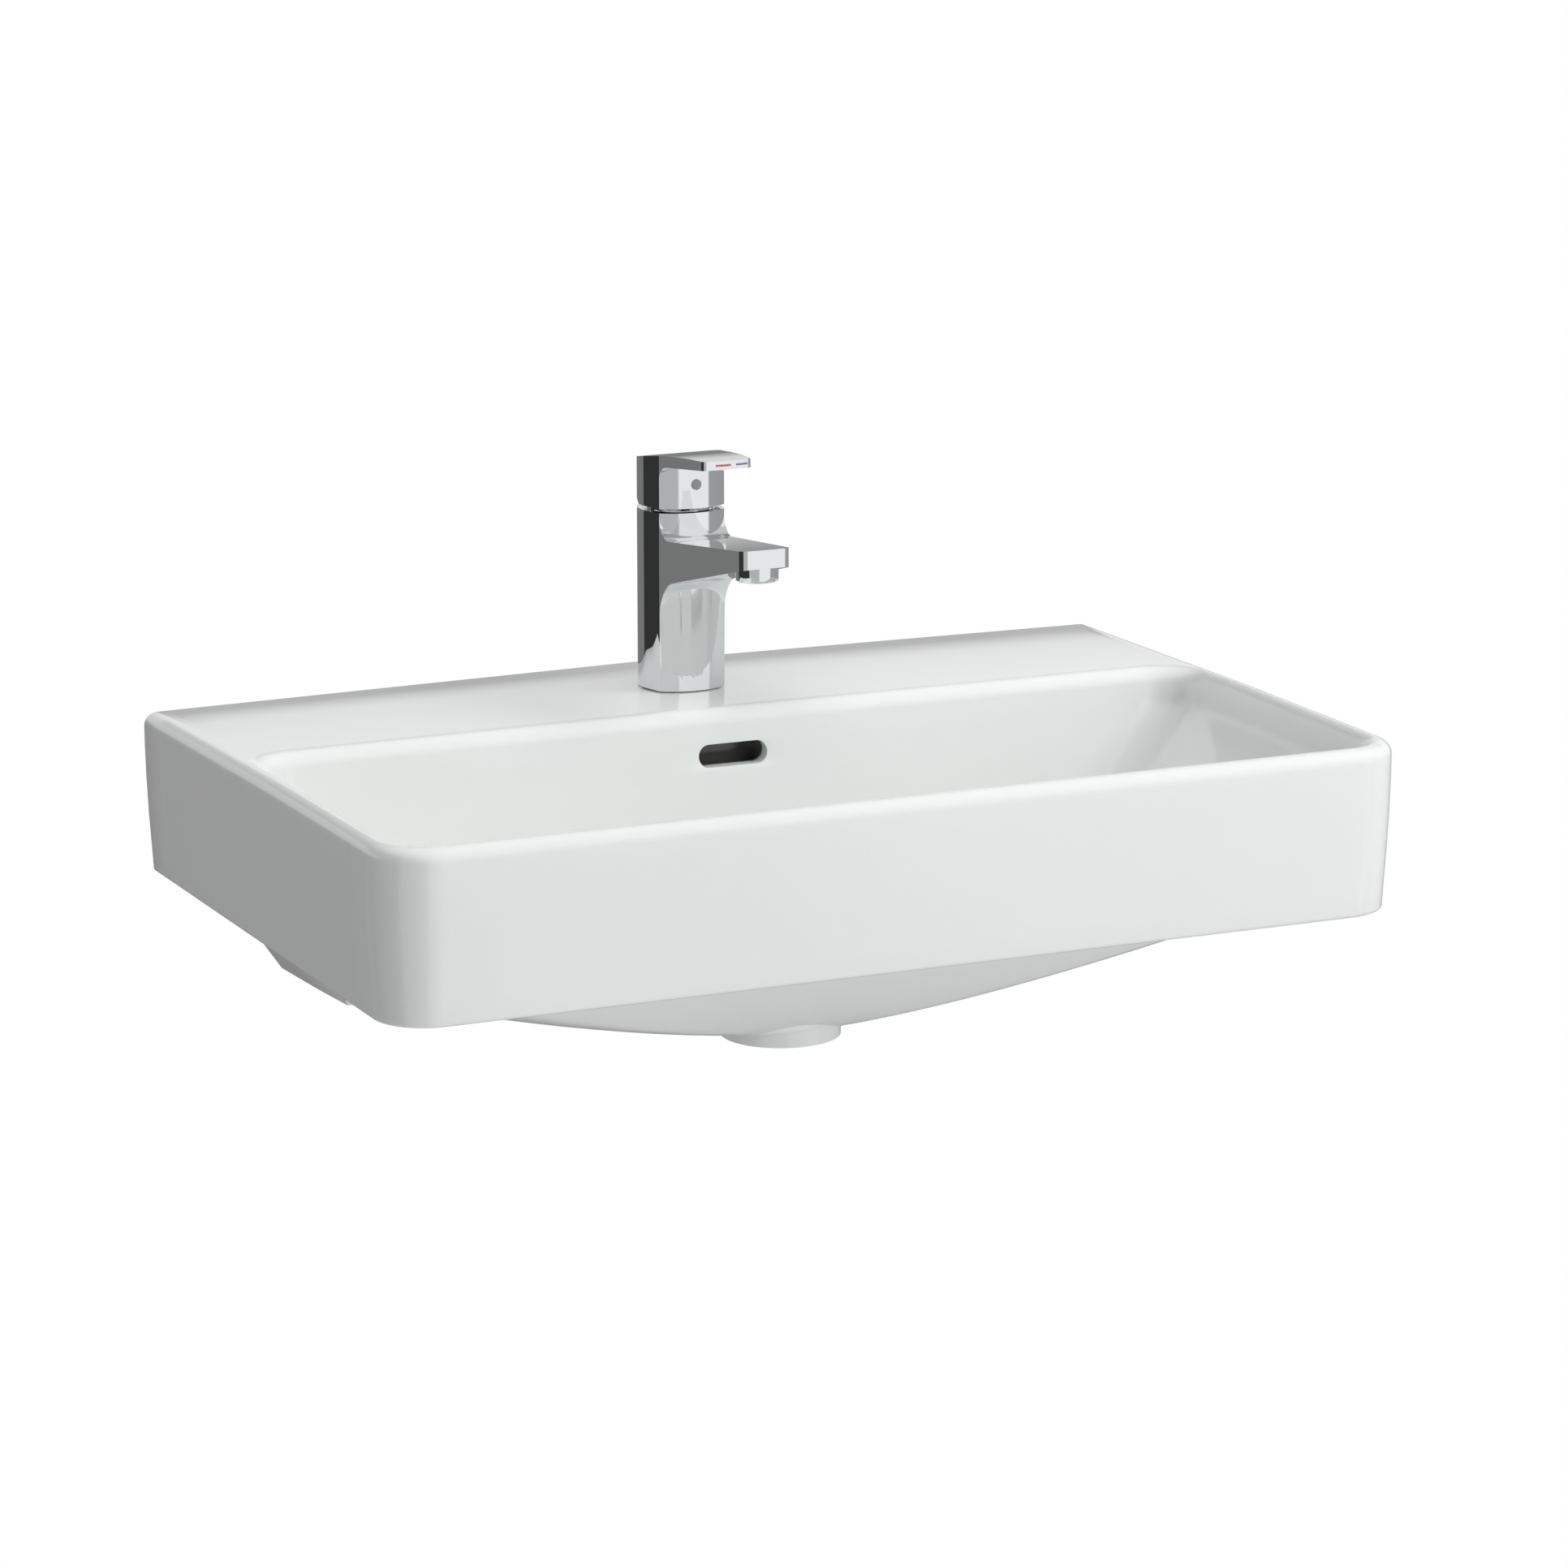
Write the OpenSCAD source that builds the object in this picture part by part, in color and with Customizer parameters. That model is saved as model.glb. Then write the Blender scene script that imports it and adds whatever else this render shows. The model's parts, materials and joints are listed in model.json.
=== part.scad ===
// Wall-hung ceramic washbasin with a single-lever mixer tap and a push-to-close waste.
// Origin: middle of the two wall-fixing holes, on the wall plane.
// +X is the user's right, the front faces -Y, the wall is at y = 0, +Z is up.

/* [Basin outside] */
// Width of the basin
basin_w = 600; // [560:1:680]
// Depth of the basin from the wall to its front
basin_d = 380; // [366:1:440]
// Height of the upright apron under the rim
apron_h = 95; // [88:1:115]
// Radius of the two front corners in plan
front_corner_r = 32; // [24:1:50]
// Outer rounding of the rim
rim_r = 8; // [5:0.5:10]
// How far the apron leans in at its lower edge
apron_lean = 4; // [0:0.5:8]
// Thickness of the glazed wall
wall = 8.5; // [7:0.5:11]
// Thickness of the panel that lies against the wall
back_wall = 12; // [10:1:18]

/* [Bowl] */
// Depth of the flat tap ledge, from the wall to the bowl
ledge_d = 129; // [126:1:140]
// Thickness of the tap ledge
ledge_t = 16; // [12:1:20]
// Depth of the bowl at the drain
bowl_h = 140; // [137:1:143]
// Width of the rolled inner edge of the rim
roll_w = 8; // [5:0.5:12]
// Height of the rolled inner edge of the rim
roll_h = 20; // [12:1:26]
// Rounding between the ledge and the bowl
ledge_r = 9; // [5:0.5:12]
// Slope of the two end walls, from level
end_slope = 53; // [48:1:65]
// Lean of the front wall of the bowl, from upright
front_lean = 41; // [36:1:45]
// Lean of the back wall of the bowl, from upright
back_lean = 8; // [4:1:12]
// Corner radius inside the bowl
bowl_corner_r = 26; // [18:1:34]
// Drop of the bowl's floor from its edge to the drain
floor_fall = 40; // [34:1:46]
// Thickness of the ceramic at the drain, from the floor to the underside
drain_h = 23; // [20:1:30]

/* [Overflow] */
// Width of the overflow slot
slot_w = 42; // [34:1:46]
// Height of the overflow slot
slot_h = 13; // [10:0.5:14]
// Depth of the slot's middle line below the rim
slot_drop = 26; // [24:1:34]
// Depth of the overflow duct, front to back
duct_d = 14; // [10:1:16]
// Wall round the overflow duct
duct_wall = 7; // [5:0.5:9]
// Height of the duct's mouth into the drain
duct_mouth_h = 8; // [6:0.5:9]

/* [Drain] */
// Distance of the drain from the wall
drain_y = 204; // [198:1:212]
// Bore of the drain through the boss
drain_bore_d = 46; // [45.6:0.2:48]
// Outer diameter of the boss under the drain
boss_d = 67.5; // [65:0.5:72]
// How far the boss stands below the bottom
boss_drop = 9; // [5:0.5:12]
// Depth of the seat in the bowl's floor for the waste flange
seat_h = 3; // [2:0.5:4]
// Depth of the recess in the boss for the ring nut
nut_recess_h = 12; // [11:0.5:13]

/* [Wall fixing] */
// Distance between the two fixing holes
fixing_w = 280; // [240:1:300]
// Depth of the fixing holes below the rim
fixing_drop = 75; // [65:1:85]
// Diameter of the fixing holes
fixing_hole_d = 14; // [12:0.5:16]
// Depth of the cheeks that bear on the wall, below the apron
cheek_h = 65; // [55:1:68]

/* [Tap body] */
// Distance of the tap's axis from the wall
tap_y = 66; // [62:1:70]
// Hole in the ledge for the tap
tap_hole_d = 35; // [34:0.5:36]
// Diameter of the tap body and of the lever's hub
tap_d = 48; // [47:0.5:52]
// Lean of the flat sides of body and hub, in degrees
side_lean = 14; // [10:1:16]
// Radius of the front face of body and hub
front_face_r = 34; // [30:1:45]
// Reach of the front face from the tap's axis
front_reach = 24.5; // [24:0.5:26]
// Height of the tap body above the ledge
tap_h = 103.5; // [102.5:0.5:106]
// Radius of the bore that holds the cartridge
cartridge_bore_r = 17.6; // [17.4:0.1:18]
// Height of the cartridge seat above the ledge
cartridge_seat_z = 64; // [62:0.5:65]
// Thickness of the block that the hoses screw into
block_h = 16; // [14:1:20]
// Radius of the tapped holes for the supply hoses
hose_r = 4.7; // [4:0.1:4.9]
// Distance of each hose from the middle
hose_x = 8; // [7.5:0.1:8.4]
// Distance of the hoses in front of the tap's axis
hose_y = 3; // [2:0.5:4]
// Length of the fixing stud under the ledge
stud_drop = 40; // [34:1:60]

/* [Spout] */
// Reach of the spout from the tap's axis
spout_reach = 121; // [114:1:135]
// Width of the spout at its tip
spout_tip_w = 30; // [28:0.5:34]
// Height of the spout's upper edge at the body
spout_root_top = 88; // [86:0.5:90]
// Height of the spout's lower edge at the body
spout_root_low = 62; // [58:0.5:66]
// Height of the spout's upper edge at the tip
spout_tip_top = 99; // [98:0.5:104]
// Thickness of the spout at its tip
spout_tip_h = 10.5; // [10:0.5:12]
// Distance from the spout's tip back to the middle of its outlet
outlet_inset = 14; // [13.5:0.5:16]
// Diameter of the aerator's ring
aerator_d = 24; // [23.5:0.5:25]
// Height of the aerator's ring under the tip
aerator_h = 9; // [7:0.5:11]

/* [Lever] */
// Gap between the body and the lever's hub
seam_h = 2.5; // [2:0.1:3.5]
// Height of the hub at its back
hub_h = 23; // [22:0.5:27]
// Reach of the lever's tip from the tap's axis
lever_reach = 69; // [60:1:85]
// Width of the lever at its tip
lever_tip_w = 30; // [28:0.5:34]
// Thickness of the lever at its tip
lever_tip_h = 5; // [4.5:0.5:7]
// Rise of the lever's tip above the hub's back edge
lever_rise = 11.5; // [9:0.5:14]
// Largest lift of the lever, in degrees
lever_lift = 20; // [12:1:20]
// Height of the lift pivot above the cartridge seat
pivot_rise = 26; // [25.5:0.1:26.4]

/* [Waste] */
// Diameter of the waste flange
flange_d = 62; // [60:0.5:64]
// Diameter of the plug's cap
cap_d = 56; // [52:0.5:57]
// Travel of the plug from closed to open
plug_travel = 8; // [5:0.5:9]
// Radius of the socket for the outlet pipe
outlet_r = 16.2; // [15:0.1:16.5]
// Depth of the socket for the outlet pipe
outlet_h = 12.5; // [10:0.5:12.5]

/* [Hidden] */

$fn = 96;
// Clearance between pieces that fit into each other and stay put
fit = 0.1;
// Clearance round pieces that slide or turn
running = 0.3;
// Radial clearance of a pin in the bore that turns on it
pin_fit = 0.05;
// Overlap that keeps cuts clean
cut = 1;

// Heights, from the fixing holes
rim_z = fixing_drop;
bottom_h = bowl_h + drain_h;
boss_low = bottom_h + boss_drop;

// Steps of the curves that are not arcs
roll_steps = 6;
floor_steps = 6;

// Apron, rim and ledge, as a profile across the basin and one from the wall to its front.
// t thins the sides and the underside, back the wall side and top the ledge, for the hollow inside.
side_bow = apron_lean / 4;
module edge_profile(out, t, top) {
    translate([out - rim_r, -top - rim_r])
        circle(r = rim_r);
    polygon([[0, -top], [out - rim_r, -top], [out - rim_r, -top - rim_r], [out, -top - rim_r],
        [out - side_bow, -(apron_h + top + rim_r) / 2], [out - apron_lean, t - apron_h],
        [0, t - apron_h]]);
}
module profile_across(t, top) {
    half = basin_w / 2 - t;
    edge_profile(half, t, top);
    mirror([1, 0])
        edge_profile(half, t, top);
}
module profile_along(t, back, top) {
    mirror([1, 0])
        difference() {
            edge_profile(basin_d - t, t, top);
            translate([back - basin_d, -2 * bottom_h])
                square([basin_d, 3 * bottom_h]);
        }
}
module extruded_along_y(length) {
    rotate([90, 0, 0])
        linear_extrude(height = length)
            children();
}
module extruded_across_x(length) {
    translate([-length / 2, 0, 0])
        rotate([90, 0, 90])
            linear_extrude(height = length)
                children();
}
// What rounds a front corner off. It starts a hair outside the flat faces, so that it cuts cleanly.
corner_ease = 0.03;
module rounded_corner(side, t, top) {
    r = front_corner_r;
    translate([side * (basin_w / 2 - t - r), r - basin_d + t, 0])
        difference() {
            translate([min(0, side * (r + cut)), -r - cut, -2 * bottom_h])
                cube([r + cut, r + cut, 2 * bottom_h + cut]);
            rotate_extrude()
                edge_profile(r + corner_ease, t, top);
            translate([0, 0, -3 * bottom_h])
                cylinder(r = r - apron_lean + corner_ease, h = 3 * bottom_h - apron_h + t + corner_ease);
        }
}
module ceramic_skin(t, back, top) {
    difference() {
        intersection() {
            extruded_along_y(basin_d)
                profile_across(t, top);
            extruded_across_x(basin_w)
                profile_along(t, back, top);
        }
        rounded_corner(1, t, top);
        rounded_corner(-1, t, top);
    }
}

// Inside of the bowl, as two profiles and a plan. out thickens it, for the wall round the bowl,
// whose outside is also the belly under the apron.
wall_low = bowl_h - floor_fall;
// How the floor bends between the walls and the drain: 1 is a straight fall
floor_bend = 1.2;
seat_r = flange_d / 2 + 0.8;
function mix(a, b, share) = a + (b - a) * share;
function roll(depth, w, h) = depth >= h ? w : w * sqrt(1 - pow(1 - depth / h, 2));
function bowl_half(d) = basin_w / 2 - rim_r - roll(d, roll_w, roll_h) - max(0, d - roll_h) / tan(end_slope);
function bowl_front(d) = basin_d - rim_r - roll(d, roll_w, roll_h) - max(0, d - roll_h) * tan(front_lean);
function bowl_back(d) = ledge_d + roll(d, ledge_r, ledge_r) + max(0, d - ledge_r) * tan(back_lean);
function under_drain(out) = out > 0 ? drain_h : 0;
function floor_at(share, out) =
    -bowl_h - under_drain(out) + (floor_fall + under_drain(out) - out) * pow(share, floor_bend);
depths = [for (k = [0:roll_steps]) roll_h * k / roll_steps, wall_low];
shares = [for (k = [1:floor_steps]) 1 - k / floor_steps];
module bowl_across(out) {
    right = concat([[bowl_half(0) + out, rim_r + out]],
        [for (d = depths) [bowl_half(d) + out, -d - out]],
        [for (s = shares) [mix(seat_r, bowl_half(wall_low) + out, s), floor_at(s, out)]]);
    left = [for (k = [len(right) - 1:-1:0]) [-right[k][0], right[k][1]]];
    polygon(concat(right, left));
}
module bowl_along(out) {
    front = concat([[-bowl_front(0) - out, rim_r + out]],
        [for (d = depths) [-bowl_front(d) - out, -d - out]],
        [for (s = shares) [-mix(drain_y + seat_r, bowl_front(wall_low) + out, s), floor_at(s, out)]]);
    back = concat([[out - bowl_back(0), rim_r + out]],
        [for (d = depths) [out - bowl_back(d), -d - out]],
        [for (s = shares) [-mix(drain_y - seat_r, bowl_back(wall_low) - out, s), floor_at(s, out)]]);
    polygon(concat(front, [for (k = [len(back) - 1:-1:0]) back[k]]));
}
module bowl_plan(out) {
    half = bowl_half(0) + out;
    front = bowl_front(0) + out;
    back = bowl_back(0) - out;
    r = bowl_corner_r + out;
    for (x = [-half + r, half - r])
        for (y = [-front + r, -back - r])
            translate([x, y])
                circle(r = r);
    translate([-half + r, -front])
        square([2 * (half - r), front - back]);
    translate([-half, -front + r])
        square([2 * half, front - back - 2 * r]);
}
module bowl_skin(out) {
    intersection() {
        extruded_along_y(basin_d)
            bowl_across(out);
        extruded_across_x(basin_w)
            bowl_along(out);
        translate([0, 0, -bottom_h - cut])
            linear_extrude(height = bottom_h + cut + rim_r + out)
                bowl_plan(out);
    }
}
module belly() {
    intersection() {
        bowl_skin(wall);
        translate([-basin_w / 2, -basin_d, -2 * bottom_h])
            cube([basin_w, basin_d, 2 * bottom_h - apron_h + wall / 2]);
    }
}

// Bearing block at the wall: slanted cheeks whose lower edge rises towards the front
cheek_inset = 34;
cheek_slant = 45;
cheek_reach = 190;
cheek_run = 72;
cheek_rise = 5;
cheek_top_x = basin_w / 2 - cheek_inset;
cheek_low_x = cheek_top_x - cheek_slant;
module cheeks(t, back) {
    low = apron_h + cheek_h - t;
    intersection() {
        translate([0, -back, 0])
            rotate([90, 0, 0])
                linear_extrude(height = cheek_reach - back)
                    polygon([[-cheek_top_x + t, -apron_h + rim_r], [-cheek_top_x + t, -apron_h],
                        [-cheek_low_x + t, -low], [cheek_low_x - t, -low], [cheek_top_x - t, -apron_h],
                        [cheek_top_x - t, -apron_h + rim_r]]);
        rotate([90, 0, 90])
            linear_extrude(height = basin_w, center = true)
                polygon([[0, -apron_h + rim_r], [0, -low], [-cheek_run, -low + cheek_rise],
                    [-1.75 * cheek_run, -low + 2 * cheek_rise],
                    [t - cheek_reach, -apron_h], [t - cheek_reach, -apron_h + rim_r]]);
    }
}

// Overflow duct behind the bowl, from the slot down to the drain
duct_back = bowl_back(slot_drop) - wall - duct_d;
duct_half = slot_w / 2;
mouth_top = bowl_h + seat_h + 7;
mouth_half = 12;
mouth_floor = 5;
nut_recess_r = drain_bore_d / 2 + 6;
module duct_walls() {
    depth_of_duct = mouth_top + duct_mouth_h + mouth_floor;
    block_front = bowl_back(wall_low) - wall / 2;
    translate([-duct_half - duct_wall, -block_front, -depth_of_duct])
        cube([2 * (duct_half + duct_wall), block_front - duct_back + duct_wall,
            depth_of_duct - ledge_t / 2]);
    translate([-mouth_half - duct_wall, -drain_y, -depth_of_duct])
        cube([2 * (mouth_half + duct_wall), drain_y - duct_back, duct_mouth_h + mouth_floor + duct_wall]);
}
module duct_space() {
    translate([-duct_half, -duct_back - duct_d, -mouth_top - duct_mouth_h])
        cube([slot_w, duct_d, mouth_top + duct_mouth_h - ledge_t - 2]);
    translate([-mouth_half, -drain_y, -mouth_top - duct_mouth_h])
        cube([2 * mouth_half, drain_y - duct_back, duct_mouth_h]);
}
module overflow_slot() {
    translate([0, -duct_back - duct_d + cut, -slot_drop])
        rotate([90, 0, 0])
            linear_extrude(height = 3 * wall)
                union() {
                    translate([slot_h / 2 - slot_w / 2, 0]) circle(d = slot_h);
                    translate([slot_w / 2 - slot_h / 2, 0]) circle(d = slot_h);
                    square([slot_w - slot_h, slot_h], center = true);
                }
}

module basin() {
    color([0.9, 0.91, 0.9])
        translate([0, 0, rim_z])
            difference() {
                union() {
                    difference() {
                        union() {
                            ceramic_skin(0, 0, 0);
                            belly();
                            cheeks(0, 0);
                        }
                        difference() {
                            union() {
                                ceramic_skin(wall, back_wall, ledge_t);
                                cheeks(wall, back_wall);
                            }
                            bowl_skin(wall);
                        }
                        // Way in from below, for the tap's and the wall's fasteners
                        difference() {
                            translate([wall - cheek_low_x, -bowl_back(wall_low), -2 * bottom_h])
                                cube([2 * (cheek_low_x - wall), bowl_back(wall_low) - back_wall,
                                    2 * bottom_h - ledge_t - 4]);
                            bowl_skin(wall);
                        }
                    }
                    duct_walls();
                    translate([0, -drain_y, -boss_low])
                        cylinder(d = boss_d, h = boss_low - bowl_h + 2);
                }
                bowl_skin(0);
                duct_space();
                overflow_slot();
                // Drain
                translate([0, -drain_y, -bowl_h - seat_h])
                    cylinder(r = seat_r, h = seat_h + cut);
                translate([0, -drain_y, -boss_low - cut])
                    cylinder(d = drain_bore_d, h = boss_low);
                translate([0, -drain_y, -boss_low - cut])
                    cylinder(r = nut_recess_r, h = nut_recess_h + cut);
                // Tap hole
                translate([0, -tap_y, -ledge_t - cut])
                    cylinder(d = tap_hole_d, h = ledge_t + 2 * cut);
                // Wall fixing holes
                for (side = [-1, 1])
                    translate([side * fixing_w / 2, cut, -fixing_drop])
                        rotate([90, 0, 0])
                            cylinder(d = fixing_hole_d, h = back_wall + 2 * cut);
            }
}

// Tap. Its own frame stands on the ledge, on the tap's axis.
module at_tap() {
    translate([0, -tap_y, rim_z])
        children();
}
chrome = [0.78, 0.79, 0.8];
steel = [0.62, 0.63, 0.64];
brass = [0.8, 0.66, 0.36];
dark_rubber = [0.12, 0.12, 0.12];
white_plastic = [0.88, 0.88, 0.86];
disc_ceramic = [0.93, 0.92, 0.88];

// Plan of body and hub: round at the back, flat leaning sides, rounded front
body_r = tap_d / 2;
corner_y = 0.75 * body_r;
corner_x = body_r * cos(side_lean) - (corner_y - body_r * sin(side_lean)) * tan(side_lean);
module tap_section() {
    // The sides cross the circle a hair inside their tangents, so that the two meet in one clear edge
    x = (body_r - corner_ease) * cos(side_lean);
    y = (body_r - corner_ease) * sin(side_lean);
    taper = body_r * tan(side_lean);
    intersection() {
        union() {
            circle(r = body_r);
            polygon([[-x, -y], [taper - x, -y - body_r], [x - taper, -y - body_r], [x, -y]]);
        }
        translate([0, front_face_r - front_reach])
            circle(r = front_face_r);
    }
}
// Plan of an arm that leaves the section's front edges and narrows to a convex tip
module arm_plan(reach, tip_w, tip_r) {
    widening = (corner_x - tip_w / 2) / (reach - corner_y) * corner_y;
    intersection() {
        polygon([[-corner_x - widening, 0], [-tip_w / 2, -reach], [tip_w / 2, -reach],
            [corner_x + widening, 0]]);
        translate([0, tip_r - reach])
            circle(r = tip_r);
    }
}
// Fillet between the front of the body and the edge of an arm that leaves it at height z,
// above the arm for side 1 and under it for side -1. Drawn from the side.
module arm_fillet(z, slope, r, side) {
    t = r / tan((90 - side * slope) / 2);
    middle = [-corner_y - r, z + side * t];
    difference() {
        polygon([[2 - corner_y, z - side], [2 - corner_y, z + side * t], middle,
            [-corner_y - t * cos(slope), z + t * sin(slope)]]);
        translate(middle)
            circle(r = r);
    }
}

base_gap = 0.6;
seal_h = 2;
seal_w = 2.2;
seal_r = cartridge_bore_r + seal_w + 1.4;
seat_z = cartridge_seat_z;
block_low = seat_z - block_h;
nut_low = tap_h - 7.5;
nut_bore_r = 19;
hose_depth = block_h - 5;
port_r = 2.4;
stud_r = 4;
stud_y = 13;
stud_grip = 11;

// Spout, from the side
spout_tip_r = 75;
upper_fillet_r = 11;
arch_r = 23;
spout_run = spout_reach - corner_y;
upper_slope = atan((spout_tip_top - spout_root_top) / spout_run);
spout_low = spout_tip_top - spout_tip_h;
lower_slope = atan((spout_low - spout_root_low) / spout_run);
outlet_reach = spout_reach - outlet_inset;
thread_h = 1.8;
thread_r = aerator_d / 2 - 1.3;
washer_h = 1.5;
chamber_low = spout_low + thread_h + washer_h;
chamber_h = 2.1;
channel_w = 12;
channel_h = 3;
channel_z = seat_z + 14;
module spout_solid() {
    intersection() {
        linear_extrude(height = tap_h)
            arm_plan(spout_reach, spout_tip_w, spout_tip_r);
        extruded_across_x(2 * tap_d)
            union() {
                polygon([[0, spout_root_top - 2], [-corner_y, spout_root_top], [-spout_reach, spout_tip_top],
                    [-spout_reach, spout_low], [-corner_y, spout_root_low], [0, spout_root_low]]);
                arm_fillet(spout_root_top, upper_slope, upper_fillet_r, 1);
                arm_fillet(spout_root_low, lower_slope, arch_r, -1);
            }
    }
}
module at_outlet(z) {
    translate([0, -outlet_reach, z])
        children();
}
module hose_places() {
    for (side = [-1, 1])
        translate([side * hose_x, -hose_y, 0])
            children();
}
// Inlets of the cartridge, beside its middle
inlet_x = 4.5;
inlet_y = 5.5;
module inlet_places() {
    for (side = [-1, 1])
        translate([side * inlet_x, -inlet_y, 0])
            children();
}
module tap_body() {
    color(chrome)
        at_tap()
            difference() {
                union() {
                    translate([0, 0, base_gap])
                        linear_extrude(height = tap_h - base_gap)
                            tap_section();
                    spout_solid();
                }
                // Groove for the seal on the ledge, and the hollow above it
                translate([0, 0, base_gap - cut])
                    difference() {
                        cylinder(r = seal_r + fit, h = seal_h - base_gap + cut + fit);
                        translate([0, 0, -cut])
                            cylinder(r = seal_r - seal_w - fit, h = 3 * seal_h);
                    }
                translate([0, 0, -cut])
                    cylinder(r = cartridge_bore_r, h = block_low + cut);
                // Tapped holes for the hoses and the stud, and the ways up to the cartridge
                translate([0, 0, block_low - cut]) {
                    hose_places()
                        cylinder(r = hose_r, h = hose_depth + cut);
                    translate([0, stud_y, 0])
                        cylinder(r = stud_r + pin_fit, h = stud_grip + cut);
                }
                translate([0, 0, block_low + hose_depth - 2])
                    inlet_places()
                        cylinder(r = port_r, h = block_h);
                // Bore for the cartridge and thread for its nut
                translate([0, 0, seat_z])
                    cylinder(r = cartridge_bore_r, h = tap_h);
                translate([0, 0, nut_low])
                    cylinder(r = nut_bore_r, h = tap_h);
                // Water way along the spout
                extruded_across_x(channel_w)
                    polygon([[-cartridge_bore_r + 2, channel_z],
                        [-cartridge_bore_r + 2, channel_z + channel_h],
                        [-outlet_reach, chamber_low + chamber_h],
                        [-outlet_reach, chamber_low + chamber_h - channel_h]]);
                // Seat of the aerator
                at_outlet(spout_low - 2 * aerator_h)
                    cylinder(r = aerator_d / 2 + fit, h = 2 * aerator_h);
                at_outlet(spout_low - cut)
                    cylinder(r = thread_r + fit, h = thread_h + washer_h + cut);
                at_outlet(chamber_low - cut)
                    cylinder(r = thread_r - 2.8, h = chamber_h + cut);
            }
}
module base_seal() {
    color(dark_rubber)
        at_tap()
            difference() {
                cylinder(r = seal_r, h = seal_h);
                translate([0, 0, -cut])
                    cylinder(r = seal_r - seal_w, h = seal_h + 2 * cut);
            }
}

// Fixing under the ledge
gasket_h = 3;
plate_h = 3;
clamp_r = 26;
clamp_slot_x = hose_x + hose_r + 0.6;
stud_nut_h = 12;
stud_nut_r = 7.5;
module fixing_stud() {
    color(steel)
        at_tap()
            translate([0, stud_y, -ledge_t - stud_drop])
                cylinder(r = stud_r, h = ledge_t + stud_drop + block_low + stud_grip - 1);
}
module horseshoe(drop, h) {
    at_tap()
        translate([0, 0, -ledge_t - drop - h])
            linear_extrude(height = h)
                difference() {
                    circle(r = clamp_r);
                    translate([-clamp_slot_x, -2 * clamp_r])
                        square([2 * clamp_slot_x, 2 * clamp_r + 5.5]);
                    translate([0, stud_y])
                        circle(r = stud_r + fit);
                }
}
module clamp_gasket() {
    color(dark_rubber)
        horseshoe(0, gasket_h);
}
module clamp_plate() {
    color(steel)
        horseshoe(gasket_h, plate_h);
}
module stud_nut() {
    color(brass)
        at_tap()
            translate([0, stud_y, -ledge_t - gasket_h - plate_h - stud_nut_h])
                difference() {
                    cylinder(r = stud_nut_r, h = stud_nut_h, $fn = 6);
                    translate([0, 0, -cut])
                        cylinder(r = stud_r + pin_fit, h = stud_nut_h + 2 * cut);
                }
}

// Cartridge, from its seat up
floor_h = 3.5;
disc_h = 4;
lap = 0.05;
moving_h = 2.95;
carrier_h = 2;
chamber_r = cartridge_bore_r - 3.1;
lower_r = chamber_r + 1.1;
journal_r = chamber_r - 1.7;
pivot_z = seat_z + pivot_rise;
ball_arm = 11.5;
ball_z = pivot_z - ball_arm;
ball_r = 2.6;
fixed_top = seat_z + floor_h + disc_h;
moving_low = fixed_top + lap;
moving_top = moving_low + moving_h;
carrier_top = moving_top + carrier_h;
rotor_low = carrier_top + running;
flange_h = 3.2;
rotor_top = tap_h - 3.5;
upper_h = 11;
chamber_seal_z = nut_low - 8;
chamber_seal_h = 2;
chamber_seal_w = 1.4;
port_seal_h = 1.3;
port_seal_w = 1.3;
mixed_y = 4;
mixed_r = 3;
module cartridge_housing() {
    color(white_plastic)
        at_tap()
            difference() {
                union() {
                    translate([0, 0, seat_z])
                        cylinder(r = lower_r, h = nut_low - seat_z);
                    translate([0, 0, nut_low - upper_h])
                        cylinder(r = cartridge_bore_r - fit, h = upper_h);
                }
                translate([0, 0, seat_z + floor_h])
                    cylinder(r = chamber_r, h = rotor_low + flange_h + running - seat_z - floor_h);
                translate([0, 0, seat_z + floor_h + cut])
                    cylinder(r = journal_r + running, h = tap_h);
                translate([0, 0, seat_z - cut])
                    inlet_places() {
                        cylinder(r = port_r, h = floor_h + 2 * cut);
                        cylinder(r = port_r + port_seal_w + 2 * fit, h = port_seal_h + cut);
                    }
                // Way of the mixed water: down through the fixed disc and out at the back
                translate([-mixed_r, mixed_y - mixed_r, seat_z + 1])
                    cube([2 * mixed_r, lower_r, floor_h]);
                translate([0, 0, chamber_seal_z - fit])
                    difference() {
                        cylinder(r = cartridge_bore_r + cut, h = chamber_seal_h + 2 * fit);
                        translate([0, 0, -cut])
                            cylinder(r = cartridge_bore_r - chamber_seal_w - fit,
                                h = chamber_seal_h + 2 * cut);
                    }
            }
}
module port_seals() {
    color(dark_rubber)
        at_tap()
            translate([0, 0, seat_z])
                inlet_places()
                    difference() {
                        cylinder(r = port_r + port_seal_w + fit, h = port_seal_h);
                        translate([0, 0, -cut])
                            cylinder(r = port_r + fit, h = port_seal_h + 2 * cut);
                    }
}
module chamber_seal() {
    color(dark_rubber)
        at_tap()
            translate([0, 0, chamber_seal_z])
                difference() {
                    cylinder(r = cartridge_bore_r - pin_fit, h = chamber_seal_h);
                    translate([0, 0, -cut])
                        cylinder(r = cartridge_bore_r - chamber_seal_w, h = chamber_seal_h + 2 * cut);
                }
}
module fixed_disc() {
    color(disc_ceramic)
        at_tap()
            translate([0, 0, seat_z + floor_h])
                difference() {
                    cylinder(r = chamber_r - fit, h = disc_h);
                    translate([0, 0, -cut]) {
                        inlet_places()
                            cylinder(r = port_r, h = disc_h + 2 * cut);
                        translate([0, mixed_y, 0])
                            cylinder(r = mixed_r, h = disc_h + 2 * cut);
                    }
                }
}
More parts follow.
